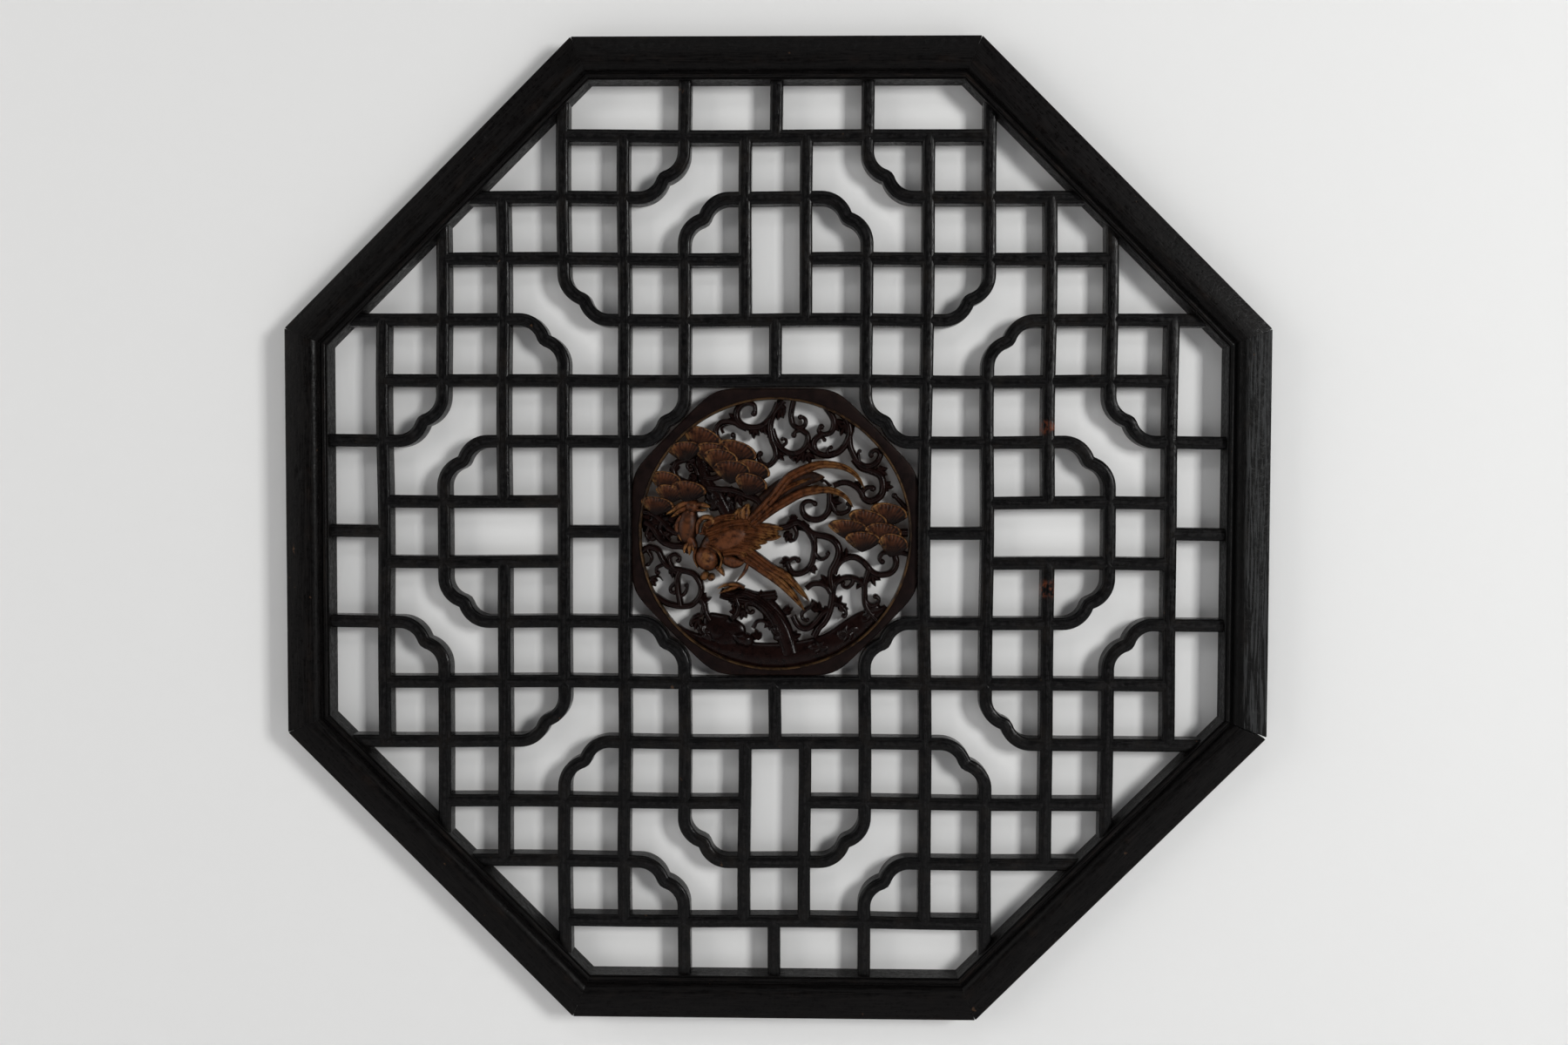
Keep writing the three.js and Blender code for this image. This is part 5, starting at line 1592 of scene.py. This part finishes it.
bird_domes = [
    dome_mesh((838, 620), ellipse(32, 17, 24), rounded(11.0 * MM), spokes=64, rings=14),
    dome_mesh((814.5, 641), ellipse(16, 14.5, -50), rounded(12.0 * MM), spokes=56, rings=14,
              gilt=lambda share, turn: 0.25 * (share < 0.5)),
    dome_mesh((811.5, 662), ellipse(6, 5.2, 60), rounded(9.4 * MM), spokes=32, rings=8, gilt=lambda share,
              turn: 0.3),
    dome_mesh((819, 663.5), ellipse(5, 4.6, 70), rounded(9.0 * MM), spokes=32, rings=8, gilt=lambda share,
              turn: 0.4),
    dome_mesh((825, 646.5), ellipse(2.4, 2.2), rounded(12.3 * MM, 0.4), spokes=20, rings=6,
              gilt=lambda share, turn: 1.0),
]
shade_feathers = [
    blade([(862, 604), (882, 578), (904, 560), (928, 549), (950, 547.5)], 25, CARVING_BACK + 9.2 * MM,
          root=0.7, full=0.5, gilt_tip=0.1),
    blade([(866, 598), (882, 582), (898, 568), (914, 556), (934, 549)], 8, CARVING_BACK + 10.4 * MM,
          root=0.8, full=0.5),
    blade([(870, 604), (888, 585), (906, 571), (926, 562), (944, 556)], 8, CARVING_BACK + 10.4 * MM,
          root=0.8, full=0.5),
]
shade_mesh = sweep("fine_roundel_under_tail", shade_feathers, shaded_wood, 10, 0.6, groove=0.1)
finish_piece("fine_roundel_under_tail", shade_mesh, shaded_wood, "roundel", CARVING_SHARP)
bird_mesh = join_meshes("fine_roundel_bird", [
    *bird_domes,
    sweep("feathers", [*tail, *wing], bird_wood, 10, 0.62, groove=0.13, groove_width=0.26),
    sweep("limbs", bird_limbs, bird_wood, 9, 0.45),
])
finish_piece("fine_roundel_bird", bird_mesh, bird_wood, "roundel", CARVING_SHARP)
print("front bird:", len(tail) + len(wing), "feathers,", len(bird_mesh.polygons), "faces")

# %% [markdown]
# ## The bird behind
#
# The second bird stands upright behind the first and looks back to the right, with its crest
# to the left, a wing rolled up like a flower, and gilt claws on the branch.

# %% The bird behind
rear_strokes = [
    blade([(792, 603), (794, 592), (798, 582)], 17, CARVING_BACK + 11.4 * MM, root=0.95, full=0.3,
          gilt_tip=0.01),
    blade([(801, 580), (809, 579.5), (818, 582.5)], 6.5, CARVING_BACK + 11.4 * MM, gilt_tip=0.8),
    blade([(801, 585), (808, 586), (814, 585)], 4.2, CARVING_BACK + 10.8 * MM, gilt_tip=0.6),
    blade([(797, 576), (784, 580), (767, 591)], 7, CARVING_BACK + 11 * MM, gilt_tip=0.8),
    blade([(796, 581), (784, 586), (773, 594)], 6.5, CARVING_BACK + 10.4 * MM, gilt_tip=0.6),
    blade([(795, 586), (787, 591), (781, 598)], 5.5, CARVING_BACK + 9.6 * MM, gilt_tip=0.5),
    blade([(803, 613), (804, 601), (811, 594), (820, 596), (821, 603), (815, 606), (811, 602), (814, 599)], 6,
          CARVING_BACK + 12.2 * MM, full=0.5, gilt_tip=0.9),
    blade([(806, 613), (814, 611), (822, 606)], 5, CARVING_BACK + 11.4 * MM, gilt_tip=0.6),
    blade([(793, 616), (797, 625), (802, 634)], 12, CARVING_BACK + 10.5 * MM, gilt_tip=0.3),
    blade([(793, 624), (789, 629), (788, 636)], 5.5, CARVING_BACK + 11.2 * MM, gilt_tip=1.0),
    blade([(795, 624), (794, 631), (794, 638)], 5.5, CARVING_BACK + 11.6 * MM, gilt_tip=1.0),
    blade([(797, 625), (799, 631), (800, 636)], 5, CARVING_BACK + 11.0 * MM, gilt_tip=1.0),
    blade([(784, 592), (779, 606), (785, 622)], 6, CARVING_BACK + 10.6 * MM, gilt_tip=0.5),
]
rear_domes = [
    dome_mesh((791.5, 604), ellipse(23, 13, 84), rounded(9.0 * MM), spokes=56, rings=12),
    dome_mesh((797, 581.5), ellipse(9.5, 9, 0), rounded(9.4 * MM), spokes=40, rings=10),
    dome_mesh((800, 579.5), ellipse(1.8, 1.8), rounded(9.6 * MM, 0.4), spokes=16, rings=5,
              gilt=lambda share, turn: 1.0),
]
rear_mesh = join_meshes("fine_roundel_bird_behind", [
    *rear_domes, sweep("rear strokes", rear_strokes, bird_wood, 9, 0.5, groove=0.06)])
finish_piece("fine_roundel_bird_behind", rear_mesh, bird_wood, "roundel", CARVING_SHARP)
print("rear bird:", len(rear_mesh.polygons), "faces")

# %% [markdown]
# ## Wall, floor and light
#
# The panel hangs flat on a pale wall in soft light from a window on the right. The wall matters:
# each bar's shadow on it, about as wide as the bar is deep, is half of what one sees. Seen from
# behind, the wall lets the view through, so the back of the panel can be looked at as well. The
# picture is shown in standard contrast, since a softer one would turn the black wood grey.

# %% Pale wall and floor
WALL_GAP = 0.6 * MM
FLOOR_DROP = 0.45


def plain_sheet(name, corners, finish):
    mesh = bpy.data.meshes.new(name)
    mesh.from_pydata(corners, [], [(0, 1, 2, 3)])
    mesh.materials.append(finish)
    sheet = bpy.data.objects.new(name, mesh)
    bpy.context.scene.collection.objects.link(sheet)
    return sheet


def pale_finish(name, colour, see_through):
    finish = bpy.data.materials.new(name)
    finish.use_nodes = True
    tree = finish.node_tree
    shader = tree.nodes["Principled BSDF"]
    shader.inputs["Base Color"].default_value = colour
    shader.inputs["Roughness"].default_value = 0.85
    here = add_node(tree, "ShaderNodeTexCoord").outputs["Object"]
    rough = add_node(tree, "ShaderNodeTexNoise", {
        "Vector": here, "Scale": 160.0, "Detail": 3.0}).outputs["Fac"]
    bumped = add_node(tree, "ShaderNodeBump", {"Strength": 0.05, "Distance": MM, "Height": rough})
    tree.links.new(bumped.outputs["Normal"], shader.inputs["Normal"])
    if see_through:
        behind = add_node(tree, "ShaderNodeNewGeometry").outputs["Backfacing"]
        path = add_node(tree, "ShaderNodeLightPath")
        from_behind = maths(tree, "MULTIPLY", behind, path.outputs["Is Camera Ray"])
        share = maths(tree, "MAXIMUM", from_behind, path.outputs["Is Shadow Ray"])
        clear = add_node(tree, "ShaderNodeBsdfTransparent")
        mixed = add_node(tree, "ShaderNodeMixShader", {0: share, 1: shader.outputs[0], 2: clear.outputs[0]})
        output = tree.nodes["Material Output"]
        tree.links.new(mixed.outputs[0], output.inputs["Surface"])
    return finish


wall_finish = pale_finish("pale wall", rgb(0.765, 0.765, 0.76), True)
floor_finish = pale_finish("pale floor", rgb(0.74, 0.74, 0.75), False)
floor_z = PANEL_MIDDLE - OUTER_WALL - FLOOR_DROP
wall_half = 3.2
wall_top = PANEL_MIDDLE + 2.4
plain_sheet("wall", [(-wall_half, WALL_GAP, floor_z), (wall_half, WALL_GAP, floor_z),
                     (wall_half, WALL_GAP, wall_top), (-wall_half, WALL_GAP, wall_top)], wall_finish)
floor_half = 6.0
plain_sheet("floor", [(-floor_half, -floor_half, floor_z), (floor_half, -floor_half, floor_z),
                      (floor_half, floor_half, floor_z), (-floor_half, floor_half, floor_z)], floor_finish)

# %% The camera, at the photograph's distance and angle
CAMERA_PLACE = Vector((35.14 * MM, -1324.47 * MM, PANEL_MIDDLE + 57.55 * MM))
CAMERA_AIM = Vector((7.449 * MM, 0, PANEL_MIDDLE + 8.064 * MM))
CAMERA_ROLL = 0.0027
FOCAL_LENGTH = 35.0
SENSOR_WIDTH = 36.0
camera_data = bpy.data.cameras.new("camera")
camera_data.lens = FOCAL_LENGTH
camera_data.sensor_width = SENSOR_WIDTH
camera_data.sensor_fit = "HORIZONTAL"
camera = bpy.data.objects.new("camera", camera_data)
bpy.context.scene.collection.objects.link(camera)
ahead = (CAMERA_AIM - CAMERA_PLACE).normalized()
level_right = ahead.cross(Vector((0, 0, 1))).normalized()
level_up = level_right.cross(ahead)
right_axis = level_right * math.cos(CAMERA_ROLL) + level_up * math.sin(CAMERA_ROLL)
up_axis = right_axis.cross(ahead)
axes = Matrix((right_axis, up_axis, -ahead)).transposed()
camera.matrix_world = Matrix.Translation(CAMERA_PLACE) @ axes.to_4x4()
bpy.context.scene.camera = camera

# %% Window light from the right, with a soft fill
def area_light(name, place, aim, size, power, colour):
    data = bpy.data.lights.new(name, "AREA")
    data.shape = "RECTANGLE"
    data.size, data.size_y = size
    data.energy = power
    data.color = colour
    lamp = bpy.data.objects.new(name, data)
    bpy.context.scene.collection.objects.link(lamp)
    facing = (Vector(aim) - Vector(place)).to_track_quat("-Z", "Y")
    lamp.matrix_world = Matrix.Translation(place) @ facing.to_matrix().to_4x4()


panel_place = (0, 0, PANEL_MIDDLE)
lights = [
    ("window", (2.7, -2.8, PANEL_MIDDLE + 0.75), (0.8, 1.2), 100, (1.0, 1.0, 0.99)),
    ("fill", (-3.2, -1.5, PANEL_MIDDLE + 0.9), (2.6, 2.6), 58, (1.0, 0.985, 0.965)),
    ("bounce", (0.6, -1.7, PANEL_MIDDLE - 2.4), (2.8, 2.0), 1.5, (1.0, 0.99, 0.98)),
    ("above", (-0.1, -2.3, PANEL_MIDDLE + 2.3), (1.8, 0.6), 9, (1.0, 1.0, 1.0)),
    ("behind", (-1.9, 2.1, PANEL_MIDDLE + 1.1), (2.2, 2.2), 60, (1.0, 1.0, 1.0)),
]
for name, place, size, power, colour in lights:
    area_light(name, place, panel_place, size, power, colour)
print("lights:", len(lights))
world = bpy.data.worlds.new("room")
world.use_nodes = True
world.node_tree.nodes["Background"].inputs["Color"].default_value = (0.86, 0.89, 0.95, 1)
world.node_tree.nodes["Background"].inputs["Strength"].default_value = 0.09
bpy.context.scene.world = world
bpy.context.scene.view_settings.view_transform = "Standard"
